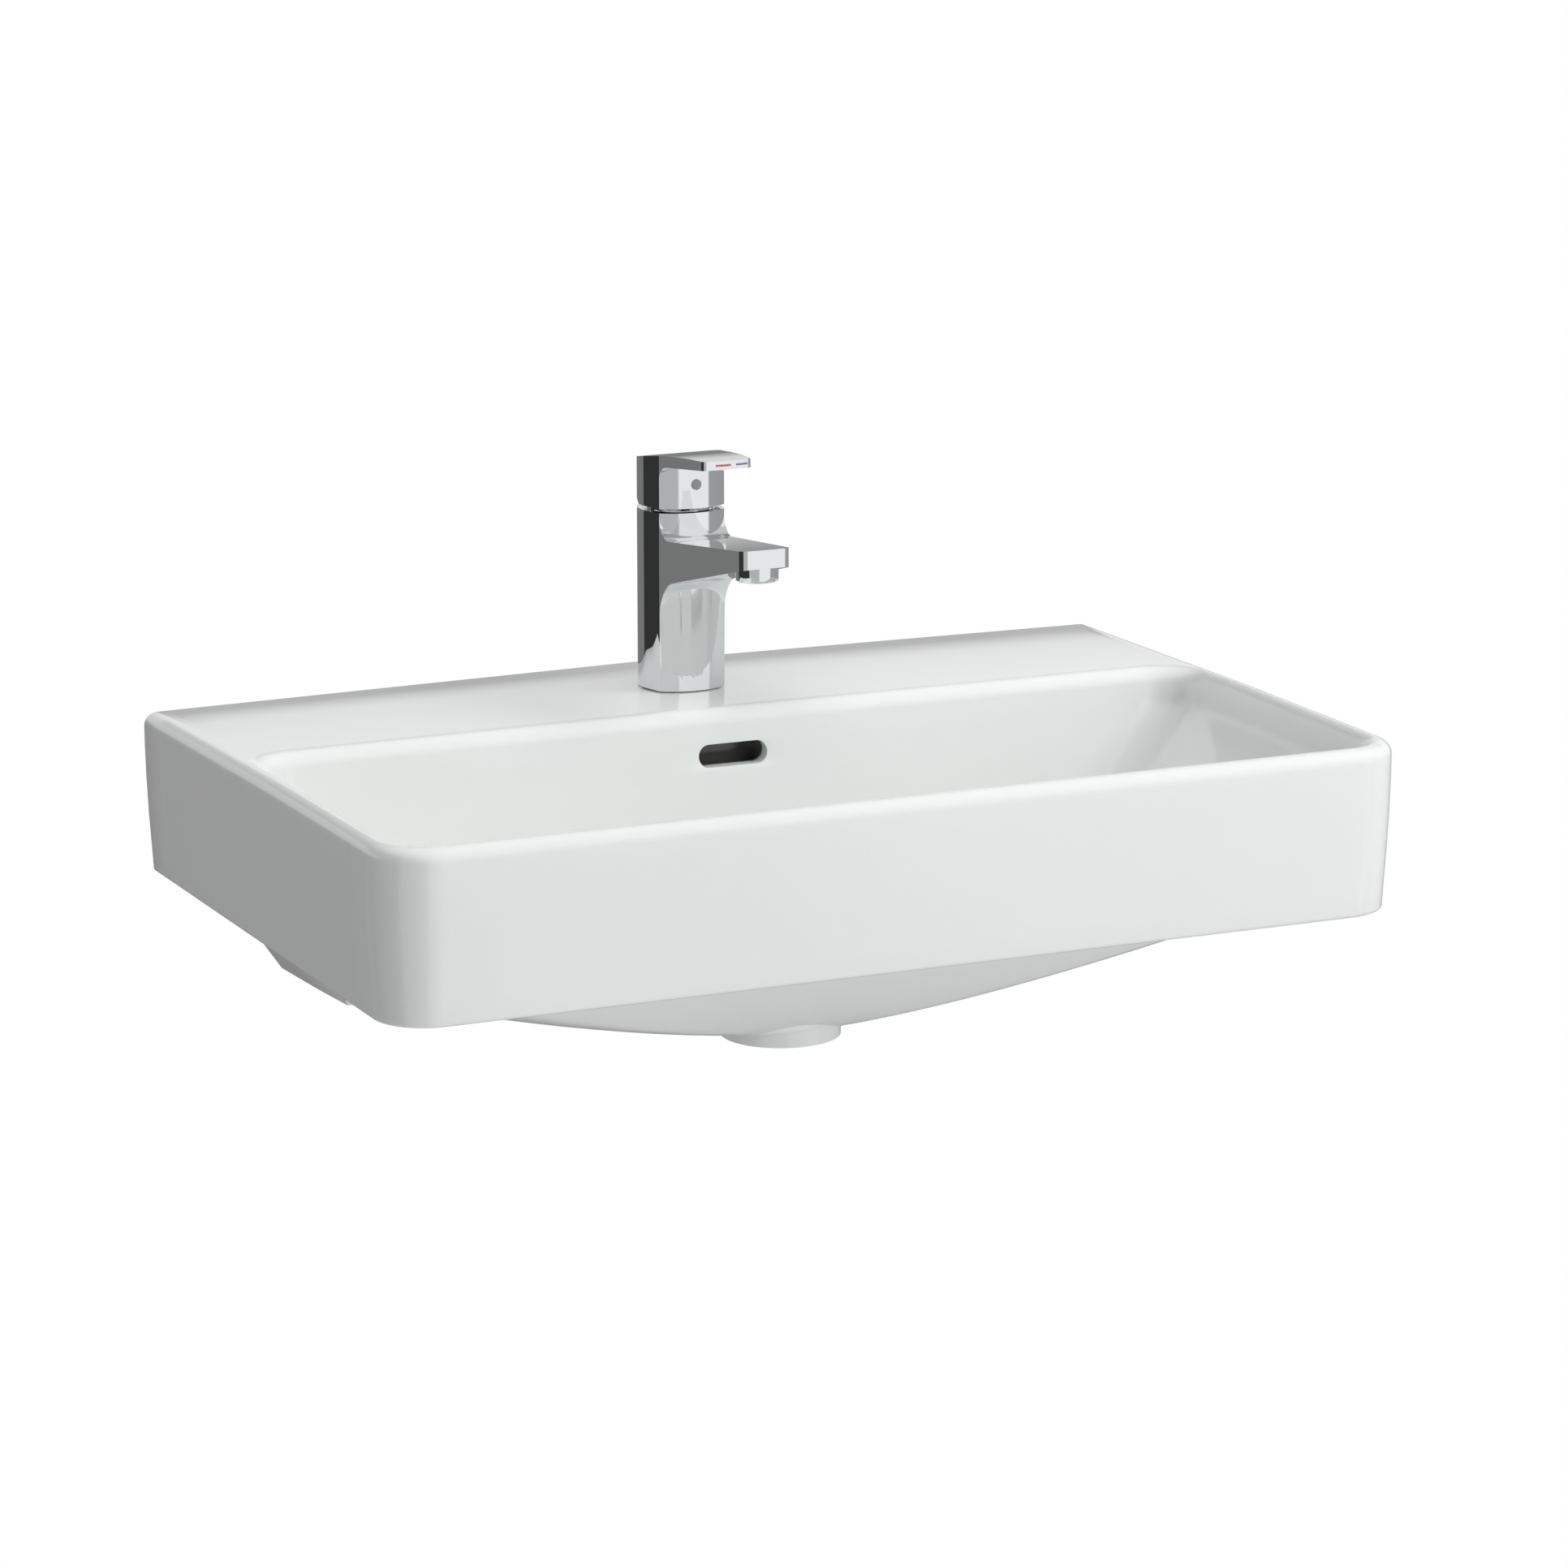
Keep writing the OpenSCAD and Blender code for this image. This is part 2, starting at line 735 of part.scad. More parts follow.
// The moving disc stands back by disc_offset when closed; its pocket joins the ports when open
disc_offset = 2;
moving_disc_r = chamber_r - 2.9;
pocket_y = 1;
pocket_r = 5.2;
pocket_h = 1.5;
module moving_disc() {
    color(disc_ceramic)
        at_tap()
            translate([0, disc_offset, moving_low])
                difference() {
                    cylinder(r = moving_disc_r, h = moving_h);
                    translate([0, pocket_y, -cut])
                        cylinder(r = pocket_r, h = pocket_h + cut);
                }
}
boss_half = 4;
ball_room = ball_r + running;
module disc_carrier() {
    color([0.25, 0.45, 0.7])
        at_tap()
            difference() {
                union() {
                    translate([0, disc_offset, moving_top])
                        cylinder(r = moving_disc_r - 0.6, h = carrier_h);
                    translate([-boss_half, -boss_half, moving_top])
                        cube([2 * boss_half, 2 * boss_half, carrier_h + flange_h + running]);
                }
                translate([-ball_room, -ball_room, ball_z - ball_r - 2 * fit])
                    cube([2 * ball_room, 2 * ball_room, ball_arm]);
            }
}
pin_r = 1.5;
spindle_w = 8;
slot_half = 9.2;
module pivot_hole(r) {
    translate([0, 0, pivot_z])
        rotate([0, 90, 0])
            cylinder(r = r, h = 4 * journal_r, center = true);
}
module rotor() {
    color([0.86, 0.85, 0.8])
        at_tap()
            difference() {
                union() {
                    translate([0, 0, rotor_low])
                        cylinder(r = chamber_r - running, h = flange_h);
                    translate([0, 0, rotor_low])
                        cylinder(r = journal_r, h = rotor_top - rotor_low);
                }
                translate([-spindle_w / 2 - running - fit, -slot_half, rotor_low - cut])
                    cube([spindle_w + 2 * (running + fit), 2 * slot_half, tap_h]);
                pivot_hole(pin_r);
            }
}
module pivot_pin() {
    color(steel)
        at_tap()
            translate([0, 0, pivot_z])
                rotate([0, 90, 0])
                    cylinder(r = pin_r, h = 2 * journal_r - 0.8, center = true);
}
neck_r = 1.8;
spindle_low = pivot_z - 6;
spindle_top = tap_h + seam_h + 18;
module spindle() {
    color(steel)
        at_tap()
            difference() {
                union() {
                    translate([0, 0, ball_z])
                        sphere(r = ball_r);
                    translate([0, 0, ball_z])
                        cylinder(r = neck_r, h = spindle_low - ball_z + cut);
                    translate([-spindle_w / 2, -spindle_w / 2, spindle_low])
                        cube([spindle_w, spindle_w, spindle_top - spindle_low]);
                }
                pivot_hole(pin_r + pin_fit);
            }
}
module cartridge_nut() {
    nut_h = tap_h - nut_low - 0.2;
    color(brass)
        at_tap()
            translate([0, 0, nut_low])
                difference() {
                    cylinder(r = nut_bore_r - fit, h = nut_h);
                    translate([0, 0, -cut])
                        cylinder(r = journal_r + 2 * running, h = nut_h + 2 * cut);
                    // Notches for the spanner
                    for (turn = [0, 60, 120])
                        rotate([0, 0, turn])
                            translate([-2 * nut_bore_r, -2, nut_h - 2.5])
                                cube([4 * nut_bore_r, 4, 2.5 + cut]);
                }
}

// Dome over the cartridge, round the lift pivot
dome_foot_r = body_r - 3;
dome_r = norm([dome_foot_r, tap_h - pivot_z]);
dome_t = 1.4;
dome_hole_r = 14;
module trim_dome() {
    color(chrome)
        at_tap()
            difference() {
                translate([0, 0, pivot_z])
                    sphere(r = dome_r);
                translate([0, 0, pivot_z])
                    sphere(r = dome_r - dome_t);
                cylinder(r = dome_hole_r, h = 2 * tap_h);
                translate([-tap_d, -tap_d, 0])
                    cube([2 * tap_d, 2 * tap_d, tap_h]);
            }
}

// Lever
hub_low = tap_h + seam_h;
lever_top_r = 500;
lever_tip_r = 60;
lever_fillet_r = 9;
lever_tip_top = hub_low + hub_h + lever_rise;
tongue_slope = 6;
tongue_low = lever_tip_top - lever_tip_h - (lever_reach - corner_y) * tan(tongue_slope);
socket_half = spindle_w / 2 + fit;
grub_r = 2.4;
grub_z = hub_low + 13.7;
grub_l = 12;
plug_r = 3;
plug_h = 1;
module lever_solid() {
    back = [body_r + cut, hub_low + hub_h];
    tip = [-lever_reach, lever_tip_top];
    chord = tip - back;
    sag = sqrt(pow(lever_top_r, 2) - pow(norm(chord) / 2, 2));
    top_middle = (back + tip) / 2 + [-chord[1], chord[0]] * sag / norm(chord);
    intersection() {
        union() {
            intersection() {
                translate([0, 0, hub_low])
                    linear_extrude(height = 2 * hub_h)
                        tap_section();
                extruded_across_x(2 * tap_d)
                    polygon([[back[0], hub_low + back[0] * tan(lever_lift + 1)], [back[0], 2 * tap_h],
                        [-2 * body_r, 2 * tap_h], [-2 * body_r, hub_low], [0, hub_low]]);
            }
            intersection() {
                translate([0, 0, hub_low])
                    linear_extrude(height = 2 * hub_h)
                        arm_plan(lever_reach, lever_tip_w, lever_tip_r);
                extruded_across_x(2 * tap_d)
                    union() {
                        polygon([[0, tongue_low], [-corner_y, tongue_low], [-lever_reach - cut,
                            tongue_low + (lever_reach + cut - corner_y) * tan(tongue_slope)],
                            [-lever_reach - cut, 2 * tap_h], [0, 2 * tap_h]]);
                        arm_fillet(tongue_low, tongue_slope, lever_fillet_r, -1);
                    }
            }
        }
        extruded_across_x(2 * tap_d)
            translate(top_middle)
                circle(r = lever_top_r, $fn = 720);
    }
}
// Colour marks in the lever's end face
mark_h = 1.2;
mark_depth = 0.4;
mark_z = lever_tip_top - lever_tip_h / 2 - mark_h / 2;
module end_mark(x, w) {
    translate([0, 0, mark_z])
        linear_extrude(height = mark_h)
            difference() {
                intersection() {
                    arm_plan(lever_reach, lever_tip_w, lever_tip_r);
                    translate([x - w / 2, -2 * lever_reach])
                        square([w, 2 * lever_reach]);
                }
                translate([0, mark_depth])
                    arm_plan(lever_reach, 2 * lever_tip_w, lever_tip_r);
            }
}
hot_x = -3.1;
hot_w = 9;
cold_x = 8.4;
cold_w = 7.5;
module forward_hole(r, near, far) {
    translate([0, -near, grub_z])
        rotate([90, 0, 0])
            cylinder(r = r, h = far - near);
}
module lever() {
    color(chrome)
        at_tap()
            difference() {
                lever_solid();
                translate([0, 0, pivot_z])
                    sphere(r = dome_r + 2 * running);
                translate([-socket_half, -socket_half, tap_h])
                    cube([2 * socket_half, 2 * socket_half, spindle_top + fit - tap_h]);
                forward_hole(grub_r + fit, 0, 2 * body_r);
                forward_hole(plug_r + fit, front_reach - plug_h, 2 * body_r);
                end_mark(hot_x, hot_w);
                end_mark(cold_x, cold_w);
            }
}
module grub_screw() {
    color(steel)
        at_tap()
            difference() {
                forward_hole(grub_r, spindle_w / 2, spindle_w / 2 + grub_l);
                translate([0, -spindle_w / 2 - grub_l + 2.5, grub_z])
                    rotate([90, 0, 0])
                        cylinder(r = 1.4, h = 2.5 + cut, $fn = 6);
            }
}
module screw_plug() {
    color([0.6, 0.61, 0.62])
        at_tap()
            forward_hole(plug_r, front_reach - plug_h, front_reach);
}
module hot_mark() {
    color([0.78, 0.12, 0.12])
        at_tap()
            end_mark(hot_x, hot_w);
}
module cold_mark() {
    color([0.12, 0.2, 0.65])
        at_tap()
            end_mark(cold_x, cold_w);
}

// Aerator
insert_r = thread_r - 1.1;
lip_h = 1;
aerator_low = spout_low - aerator_h;
module aerator_seal() {
    color(dark_rubber)
        at_tap()
            at_outlet(spout_low + thread_h)
                difference() {
                    cylinder(r = thread_r, h = washer_h);
                    translate([0, 0, -cut])
                        cylinder(r = thread_r - 3.2, h = washer_h + 2 * cut);
                }
}
module aerator_insert() {
    color([0.75, 0.76, 0.78])
        at_tap()
            at_outlet(aerator_low + lip_h)
                difference() {
                    cylinder(r = insert_r - fit, h = aerator_h + thread_h - lip_h);
                    translate([0, 0, 2])
                        cylinder(r = insert_r - 1.6, h = aerator_h + thread_h);
                    translate([0, 0, -cut]) {
                        cylinder(r = 1.2, h = 4, $fn = 24);
                        for (turn = [0:60:300])
                            rotate([0, 0, turn])
                                translate([insert_r / 2, 0, 0])
                                    cylinder(r = 1.2, h = 4, $fn = 24);
                    }
                }
}
module aerator_ring() {
    color(chrome)
        at_tap()
            at_outlet(aerator_low)
                difference() {
                    union() {
                        cylinder(r = aerator_d / 2, h = aerator_h);
                        cylinder(r = thread_r, h = aerator_h + thread_h);
                    }
                    translate([0, 0, -cut])
                        cylinder(r = insert_r - 1.2, h = aerator_h);
                    translate([0, 0, lip_h])
                        cylinder(r = insert_r, h = aerator_h + thread_h);
                }
}

// Waste. Its own frame stands on the bowl's floor, on the drain's axis.
module at_drain() {
    translate([0, -drain_y, rim_z - bowl_h])
        children();
}
flange_t = 2;
flange_seal_h = seat_h - flange_t;
sleeve_r = drain_bore_d / 2 - 0.5;
sleeve_low = boss_low - bowl_h - 1;
cup_r = sleeve_r - 4.5;
lip_r = outlet_r - 1.7;
lip_top = sleeve_low - outlet_h - 2;
slot_top = mouth_top - bowl_h + 0.5;
spider_z = 6;
spider_h = 3;
capsule_r = 6;
capsule_top = 3;
capsule_h = plug_travel + 5;
stem_r = 3;
module waste_body() {
    color(chrome)
        at_drain() {
            difference() {
                union() {
                    translate([0, 0, -flange_t])
                        cylinder(d = flange_d, h = flange_t);
                    translate([0, 0, -sleeve_low])
                        cylinder(r = sleeve_r, h = sleeve_low);
                }
                translate([0, 0, -lip_top])
                    cylinder(r = cup_r, h = lip_top + cut);
                translate([0, 0, -sleeve_low - cut])
                    cylinder(r = lip_r, h = sleeve_low);
                translate([0, 0, -sleeve_low - cut])
                    cylinder(r = outlet_r, h = outlet_h + cut);
                // Slots that take the water of the overflow duct
                for (turn = [0, 90])
                    rotate([0, 0, turn])
                        translate([-6, -2 * sleeve_r, -lip_top])
                            cube([12, 4 * sleeve_r, lip_top - slot_top]);
            }
            // Spider that holds the latch
            translate([0, 0, -spider_z - spider_h])
                linear_extrude(height = spider_h)
                    difference() {
                        union() {
                            circle(r = capsule_r + 2);
                            for (turn = [45, 135])
                                rotate([0, 0, turn])
                                    square([2 * (cup_r + cut), 3], center = true);
                        }
                        circle(r = capsule_r + pin_fit);
                    }
        }
}
module flange_seal() {
    color(dark_rubber)
        at_drain()
            translate([0, 0, -seat_h])
                difference() {
                    cylinder(d = flange_d - 2, h = flange_seal_h);
                    translate([0, 0, -cut])
                        cylinder(r = sleeve_r + fit, h = flange_seal_h + 2 * cut);
                }
}
boss_gasket_h = 2.5;
ring_nut_h = 6.5;
recess_top = boss_low - bowl_h - nut_recess_h;
module sleeve_ring(top, r, h) {
    at_drain()
        translate([0, 0, -top - h])
            difference() {
                cylinder(r = r, h = h);
                translate([0, 0, -cut])
                    cylinder(r = sleeve_r + pin_fit, h = h + 2 * cut);
            }
}
module boss_gasket() {
    color(dark_rubber)
        sleeve_ring(recess_top, nut_recess_r - 1, boss_gasket_h);
}
module ring_nut() {
    color(brass)
        difference() {
            sleeve_ring(recess_top + boss_gasket_h, nut_recess_r - 1, ring_nut_h);
            // Notches for the ring spanner
            at_drain()
                translate([0, 0, -recess_top - boss_gasket_h - ring_nut_h - cut])
                    for (turn = [0, 45, 90, 135])
                        rotate([0, 0, turn])
                            translate([-2 * nut_recess_r, -2.5, 0])
                                cube([4 * nut_recess_r, 5, 2 + cut]);
        }
}
module latch_capsule() {
    color(white_plastic)
        at_drain()
            translate([0, 0, -capsule_top - capsule_h])
                difference() {
                    cylinder(r = capsule_r, h = capsule_h);
                    translate([0, 0, 1])
                        cylinder(r = stem_r + running, h = capsule_h);
                }
}
plug_gap = 0.3;
plug_seal_h = 1.5;
plug_low = plug_gap + plug_seal_h;
cap_t = 4;
cap_crown_r = 150;
neck_of_plug_r = 12;
neck_of_plug_low = capsule_top - 0.7;
module plug_stem() {
    color(steel)
        at_drain()
            translate([0, 0, -capsule_top - capsule_h + 1.5])
                cylinder(r = stem_r, h = capsule_top + capsule_h - 1.5 + plug_low);
}
module plug_seal() {
    color(dark_rubber)
        at_drain()
            translate([0, 0, plug_gap])
                difference() {
                    cylinder(r = cup_r + 4, h = plug_seal_h);
                    translate([0, 0, -cut])
                        cylinder(r = neck_of_plug_r, h = plug_seal_h + 2 * cut);
                }
}
module plug_cap() {
    color(chrome)
        at_drain()
            difference() {
                union() {
                    intersection() {
                        translate([0, 0, plug_low])
                            cylinder(d = cap_d, h = cap_t);
                        translate([0, 0, plug_low + cap_t - cap_crown_r])
                            sphere(r = cap_crown_r, $fn = 180);
                    }
                    translate([0, 0, -neck_of_plug_low])
                        cylinder(r = neck_of_plug_r, h = neck_of_plug_low + plug_low + cut);
                }
                translate([0, 0, -neck_of_plug_low - cut])
                    cylinder(r = stem_r, h = neck_of_plug_low + cut + plug_low);
            }
}

basin();
tap_body();
base_seal();
fixing_stud();
clamp_gasket();
clamp_plate();
stud_nut();
cartridge_housing();
port_seals();
chamber_seal();
fixed_disc();
moving_disc();
disc_carrier();
rotor();
pivot_pin();
spindle();
cartridge_nut();
trim_dome();
lever();
grub_screw();
screw_plug();
hot_mark();
cold_mark();
aerator_seal();
aerator_insert();
aerator_ring();
waste_body();
flange_seal();
boss_gasket();
ring_nut();
latch_capsule();
plug_stem();
plug_seal();
plug_cap();
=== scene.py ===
# %% [markdown]
# # A washbasin with its mixer tap
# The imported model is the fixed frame: every piece is in metres, the two wall holes are at the origin,
# the front faces -Y and the rim is 75 mm above the holes. This lesson dresses that frame. It models the
# glazed basin and the chrome tap again with soft edges, and gives every other piece a finish of its own.

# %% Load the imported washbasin
import json
import math
import bmesh
import bpy
from mathutils import Matrix, Vector


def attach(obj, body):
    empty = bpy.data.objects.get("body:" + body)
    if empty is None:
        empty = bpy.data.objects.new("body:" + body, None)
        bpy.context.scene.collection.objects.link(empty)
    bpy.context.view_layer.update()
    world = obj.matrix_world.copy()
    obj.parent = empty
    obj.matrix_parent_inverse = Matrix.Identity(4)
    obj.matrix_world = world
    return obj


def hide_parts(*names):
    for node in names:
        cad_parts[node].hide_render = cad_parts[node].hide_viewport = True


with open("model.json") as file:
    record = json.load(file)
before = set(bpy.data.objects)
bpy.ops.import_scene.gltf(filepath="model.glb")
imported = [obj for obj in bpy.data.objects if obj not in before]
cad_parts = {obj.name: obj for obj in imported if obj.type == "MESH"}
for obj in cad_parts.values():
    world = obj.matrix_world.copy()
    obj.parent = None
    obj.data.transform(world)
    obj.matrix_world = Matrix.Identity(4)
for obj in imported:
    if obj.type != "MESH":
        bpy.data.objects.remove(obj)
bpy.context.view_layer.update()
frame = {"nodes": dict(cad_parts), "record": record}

# %% [markdown]
# ## Shader sums as plain Python
# A finish is easier to read as a sum than as a web of nodes. One small class holds an output of a node,
# and its + - * and / add the Math nodes. Colours never go through Math, because that would turn them grey.
# Every other kind of node comes from the one method add.

# %% A wire that can be added and multiplied
class Wire:
    def __init__(self, tree, socket=None):
        self.tree, self.socket = tree, socket

    def add(self, kind, settings=None, inputs=None, output=0):
        """Adds a node: first its settings, then the values or links of its sockets."""
        made = self.tree.nodes.new("ShaderNode" + kind)
        for name, value in (settings or {}).items():
            if name == "stops":
                band = made.color_ramp
                while len(band.elements) < len(value):
                    band.elements.new(0.5)
                for stop, (place, shade) in zip(band.elements, value):
                    stop.position, stop.color = place, (shade, shade, shade, 1)
            else:
                setattr(made, name, value)
        for name, value in (inputs or {}).items():
            self.feed(made.inputs[name], value)
        return Wire(self.tree, made.outputs[output])

    def feed(self, socket, value):
        """Links a wire to a socket, or sets the socket's own value."""
        if isinstance(value, Wire):
            self.tree.links.new(value.socket, socket)
        elif isinstance(value, tuple) and socket.type == "RGBA":
            socket.default_value = (*value, 1)
        else:
            socket.default_value = value

    def sum(self, how, first, second):
        """One Math node of two values or wires."""
        return self.add("Math", {"operation": how}, {0: first, 1: second})

    def __add__(self, other):
        return self.sum("ADD", self, other)

    def __sub__(self, other):
        return self.sum("SUBTRACT", self, other)

    def __rsub__(self, other):
        return self.sum("SUBTRACT", other, self)

    def __mul__(self, other):
        return self.sum("MULTIPLY", self, other)

    def __gt__(self, other):
        return self.sum("GREATER_THAN", self, other)

    def __lt__(self, other):
        return self.sum("LESS_THAN", self, other)

    __radd__, __rmul__ = __add__, __mul__


# %% [markdown]
# ## The finishes
# Each finish starts from one Principled shader. Two noises in Object coordinates vary it: a broad one
# moves the colour between two near tones and the roughness between two values, as glaze pools and metal
# is wiped, and a fine one gives a bump no deeper than the real surface has. Numbers that are the same all
# over, such as the index of refraction, are set on the shader itself.

# %% A finish with its own tone, gloss and grain
# Painted shade: the dark colour mixed into the glaze inside the overflow's shaft, where little light
# reaches
PAINTED_SHAFT_SHADE = (0.14, 0.14, 0.135)
# Just outside the walls of the overflow's shaft, in metres: half its width squared, wall, front and top
SHAFT_SIDE, SHAFT_BACK, SHAFT_FRONT, SHAFT_TOP = 0.0005, -0.1165, -0.1335, 0.0575


def blend(start, share, first, second):
    """Mixes two colours: share 0 gives the first and 1 the second."""
    return start.add("Mix", {"data_type": "RGBA"}, {0: share, 6: first, 7: second}, output=2)


def ramp(start, value, low, high, first=0.0, last=1.0):
    """Goes from first to last while the value goes from low to high."""
    span = {"From Min": low, "From Max": high, "To Min": first, "To Max": last}
    return start.add("MapRange", None, {"Value": value, **span})


def axes(start, place):
    """The three parts of a vector."""
    return [start.add("SeparateXYZ", None, {0: place}, output=k) for k in (0, 1, 2)]


def finish(name, tones, gloss, broad, fine, depth, stretch=(1, 1, 1), painted_shade=None, **fixed):
    """gloss: lowest and highest roughness; broad and fine: noise scales per metre; depth: bump in
    metres; stretch: noise drawn out along an axis; the last argument, a mask, gives 1 where shade is
    painted into the colour."""
    material = bpy.data.materials.new(name)
    material.use_nodes = True
    tree = material.node_tree
    shader = tree.nodes["Principled BSDF"]
    start = Wire(tree)
    place = start.add("TexCoord", output=3)
    place = place.add("Mapping", {"vector_type": "POINT"}, {"Vector": place, "Scale": stretch})
    patch = start.add("TexNoise", None, {"Vector": place, "Scale": broad, "Detail": 3.0})
    grain = start.add("TexNoise", None, {"Vector": place, "Scale": fine, "Detail": 4.0})
    spread = ramp(start, patch, 0.3, 0.7)
    tone = blend(start, spread, *tones)
    # Painted shade: where the mask gives 1, a dark colour takes the place of the tone
    if painted_shade:
        tone = blend(start, painted_shade(start), tone, PAINTED_SHAFT_SHADE)
    bump = start.add("Bump", None, {"Height": grain, "Distance": depth, "Strength": 0.5})
    start.feed(shader.inputs["Base Color"], tone)
    start.feed(shader.inputs["Roughness"], gloss[0] + spread * (gloss[1] - gloss[0]))
    start.feed(shader.inputs["Normal"], bump)
    for socket, value in fixed.items():
        shader.inputs[socket.replace("_", " ")].default_value = value
    return material


def shaft_shade_mask(start):
    """1 inside the overflow's shaft, where shade is painted into the glaze as a dark colour, and 0 on the
    rest of the glaze.
    """
    x, y, z = axes(start, start.add("TexCoord", output=3))
    return (x * x < SHAFT_SIDE) * (y > SHAFT_FRONT) * (y < SHAFT_BACK) * (z < SHAFT_TOP)


finishes = {
    # The glaze gets painted shade inside the overflow's shaft
    "glaze": finish("glaze", [(0.80, 0.825, 0.81), (0.83, 0.85, 0.838)], (0.10, 0.16), 6, 60, 0.00004,
                    painted_shade=shaft_shade_mask, Coat_Weight=0.6, Coat_Roughness=0.04),
    "chrome": finish("chrome", [(0.80, 0.81, 0.82), (0.84, 0.85, 0.86)], (0.025, 0.05), 25, 400, 0.000002,
                     Metallic=1.0),
    "steel": finish("steel", [(0.50, 0.51, 0.52), (0.60, 0.61, 0.62)], (0.24, 0.38), 60, 900, 0.00002,
                    (1, 1, 0.15), Metallic=1.0),
    "brass": finish("brass", [(0.66, 0.47, 0.20), (0.78, 0.60, 0.30)], (0.22, 0.36), 80, 900, 0.00002,
                    (1, 1, 0.3), Metallic=1.0),
    "rubber": finish("rubber", [(0.012, 0.012, 0.013), (0.03, 0.03, 0.031)], (0.55, 0.75), 150, 2500,
                     0.00004),
    "white_plastic": finish("white_plastic", [(0.72, 0.72, 0.69), (0.80, 0.80, 0.77)], (0.3, 0.42), 90,
                            1500, 0.00002),
    "grey_plastic": finish("grey_plastic", [(0.36, 0.37, 0.38), (0.46, 0.47, 0.48)], (0.32, 0.45), 90, 1500,
                           0.00002),
    "blue_plastic": finish("blue_plastic", [(0.04, 0.13, 0.36), (0.07, 0.19, 0.46)], (0.3, 0.42), 90, 1500,
                           0.00002),
    "disc_ceramic": finish("disc_ceramic", [(0.76, 0.74, 0.68), (0.84, 0.82, 0.77)], (0.12, 0.2), 120, 3000,
                           0.000004),
    "red_mark": finish("red_mark", [(0.50, 0.12, 0.15), (0.60, 0.17, 0.20)], (0.25, 0.4), 400, 3000,
                       0.000006),
    "blue_mark": finish("blue_mark", [(0.16, 0.18, 0.36), (0.22, 0.24, 0.44)], (0.25, 0.4), 400, 3000,
                        0.000006),
}
print("finishes:", ", ".join(finishes))

# %% [markdown]
# ## Every node gets its finish
# The record says which material slot a node belongs to. Most of the small pieces have the right shape
# already, so they keep their mesh and only get a better surface.

# %% Give each node the finish of its slot
slot_of = {part["node"]: part["material_slot"] for part in frame["record"]["subparts"]}
for name, node in frame["nodes"].items():
    node.data.materials.clear()
    node.data.materials.append(finishes[slot_of[name]])
print("slots:", sorted(set(slot_of.values())))

# %% [markdown]
# ## Turning a mesh into a piece
# The helpers below keep every piece at the origin with its place in its mesh. The numbers in the cells
# are millimetres, as on the drawing, and a piece becomes metres only when it is finished.

# %% Helpers: finished pieces, cutting and joining
MM = 0.001
RIM = 75


def piece_from(bm, name):
    """Turns a bmesh into a piece at the origin, its double points joined and its faces outwards."""
    bmesh.ops.remove_doubles(bm, verts=bm.verts, dist=0.0005)
    bmesh.ops.recalc_face_normals(bm, faces=bm.faces)
    mesh = bpy.data.meshes.new(name)
    bm.to_mesh(mesh)
    bm.free()
    made = bpy.data.objects.new(name, mesh)
    bpy.context.scene.collection.objects.link(made)
    return made


def cut(piece, tool, how="DIFFERENCE"):
    """Joins, cuts or trims a piece with a tool, and throws the tool away."""
    change = piece.modifiers.new(how, "BOOLEAN")
    change.operation, change.solver, change.object = how, "EXACT", tool
    graph = bpy.context.evaluated_depsgraph_get()
    made = bpy.data.meshes.new_from_object(piece.evaluated_get(graph))
    piece.modifiers.clear()
    piece.data = made
    bpy.data.objects.remove(tool)
    return piece


def turned(points, place=(0, 0, 0), closed=False, sides=128):
    """Spins an outline of (radius, height) points round the upright axis."""
    bm = bmesh.new()
    chain = [bm.verts.new((r, 0, z)) for r, z in points]
    pairs = zip(chain, chain[1:] + chain[:1]) if closed else zip(chain, chain[1:])
    edges = [bm.edges.new(pair) for pair in pairs]
    bmesh.ops.spin(bm, geom=chain + edges, cent=(0, 0, 0), axis=(0, 0, 1), angle=2 * math.pi, steps=sides,
                   use_merge=True)
    bmesh.ops.translate(bm, vec=place, verts=bm.verts)
    return piece_from(bm, "turned")


def dress(piece, body, nodes, smooth=30):
    """Metres, smooth shading with crisp edges over the angle, body, slot and the nodes it stands for."""
    piece.data.transform(Matrix.Scale(MM, 4))
    piece.data.shade_smooth()
    piece.data.set_sharp_from_angle(angle=math.radians(smooth))
    piece.data.materials.clear()
    piece.data.materials.append(finishes[slot_of[nodes[0]]])
    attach(piece, body)
    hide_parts(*nodes)
    bm = bmesh.new()
    bm.from_mesh(piece.data)
    open_edges = sum(not e.is_manifold for e in bm.edges)
    print(piece.name, "faces:", len(bm.faces), "open edges:", open_edges)
    bm.free()
    return piece


# %% Helpers: rings, rods, blocks and cut-out profiles
def ring_edges(ring):
    """The edges between neighbouring points of a closed ring."""
    return [next(e for e in a.link_edges if e.other_vert(a) == b)
            for a, b in zip(ring, ring[1:] + ring[:1])]


def loft(levels):
    """Extrudes one closed ring from level to level. A level is the list of its points."""
    bm = bmesh.new()
    ring = bmesh.ops.create_circle(bm, segments=len(levels[0]), radius=1)["verts"]
    for vert, point in zip(ring, levels[0]):
        vert.co = point
    bmesh.ops.contextual_create(bm, geom=ring_edges(ring))
    for level in levels[1:]:
        made = bmesh.ops.extrude_edge_only(bm, edges=ring_edges(ring))["geom"]
        fresh = {v for v in made if isinstance(v, bmesh.types.BMVert)}
        ring = [next(e.other_vert(v) for e in v.link_edges if e.other_vert(v) in fresh) for v in ring]
        for vert, point in zip(ring, level):
            vert.co = point
    bmesh.ops.contextual_create(bm, geom=ring_edges(ring))
    return bm


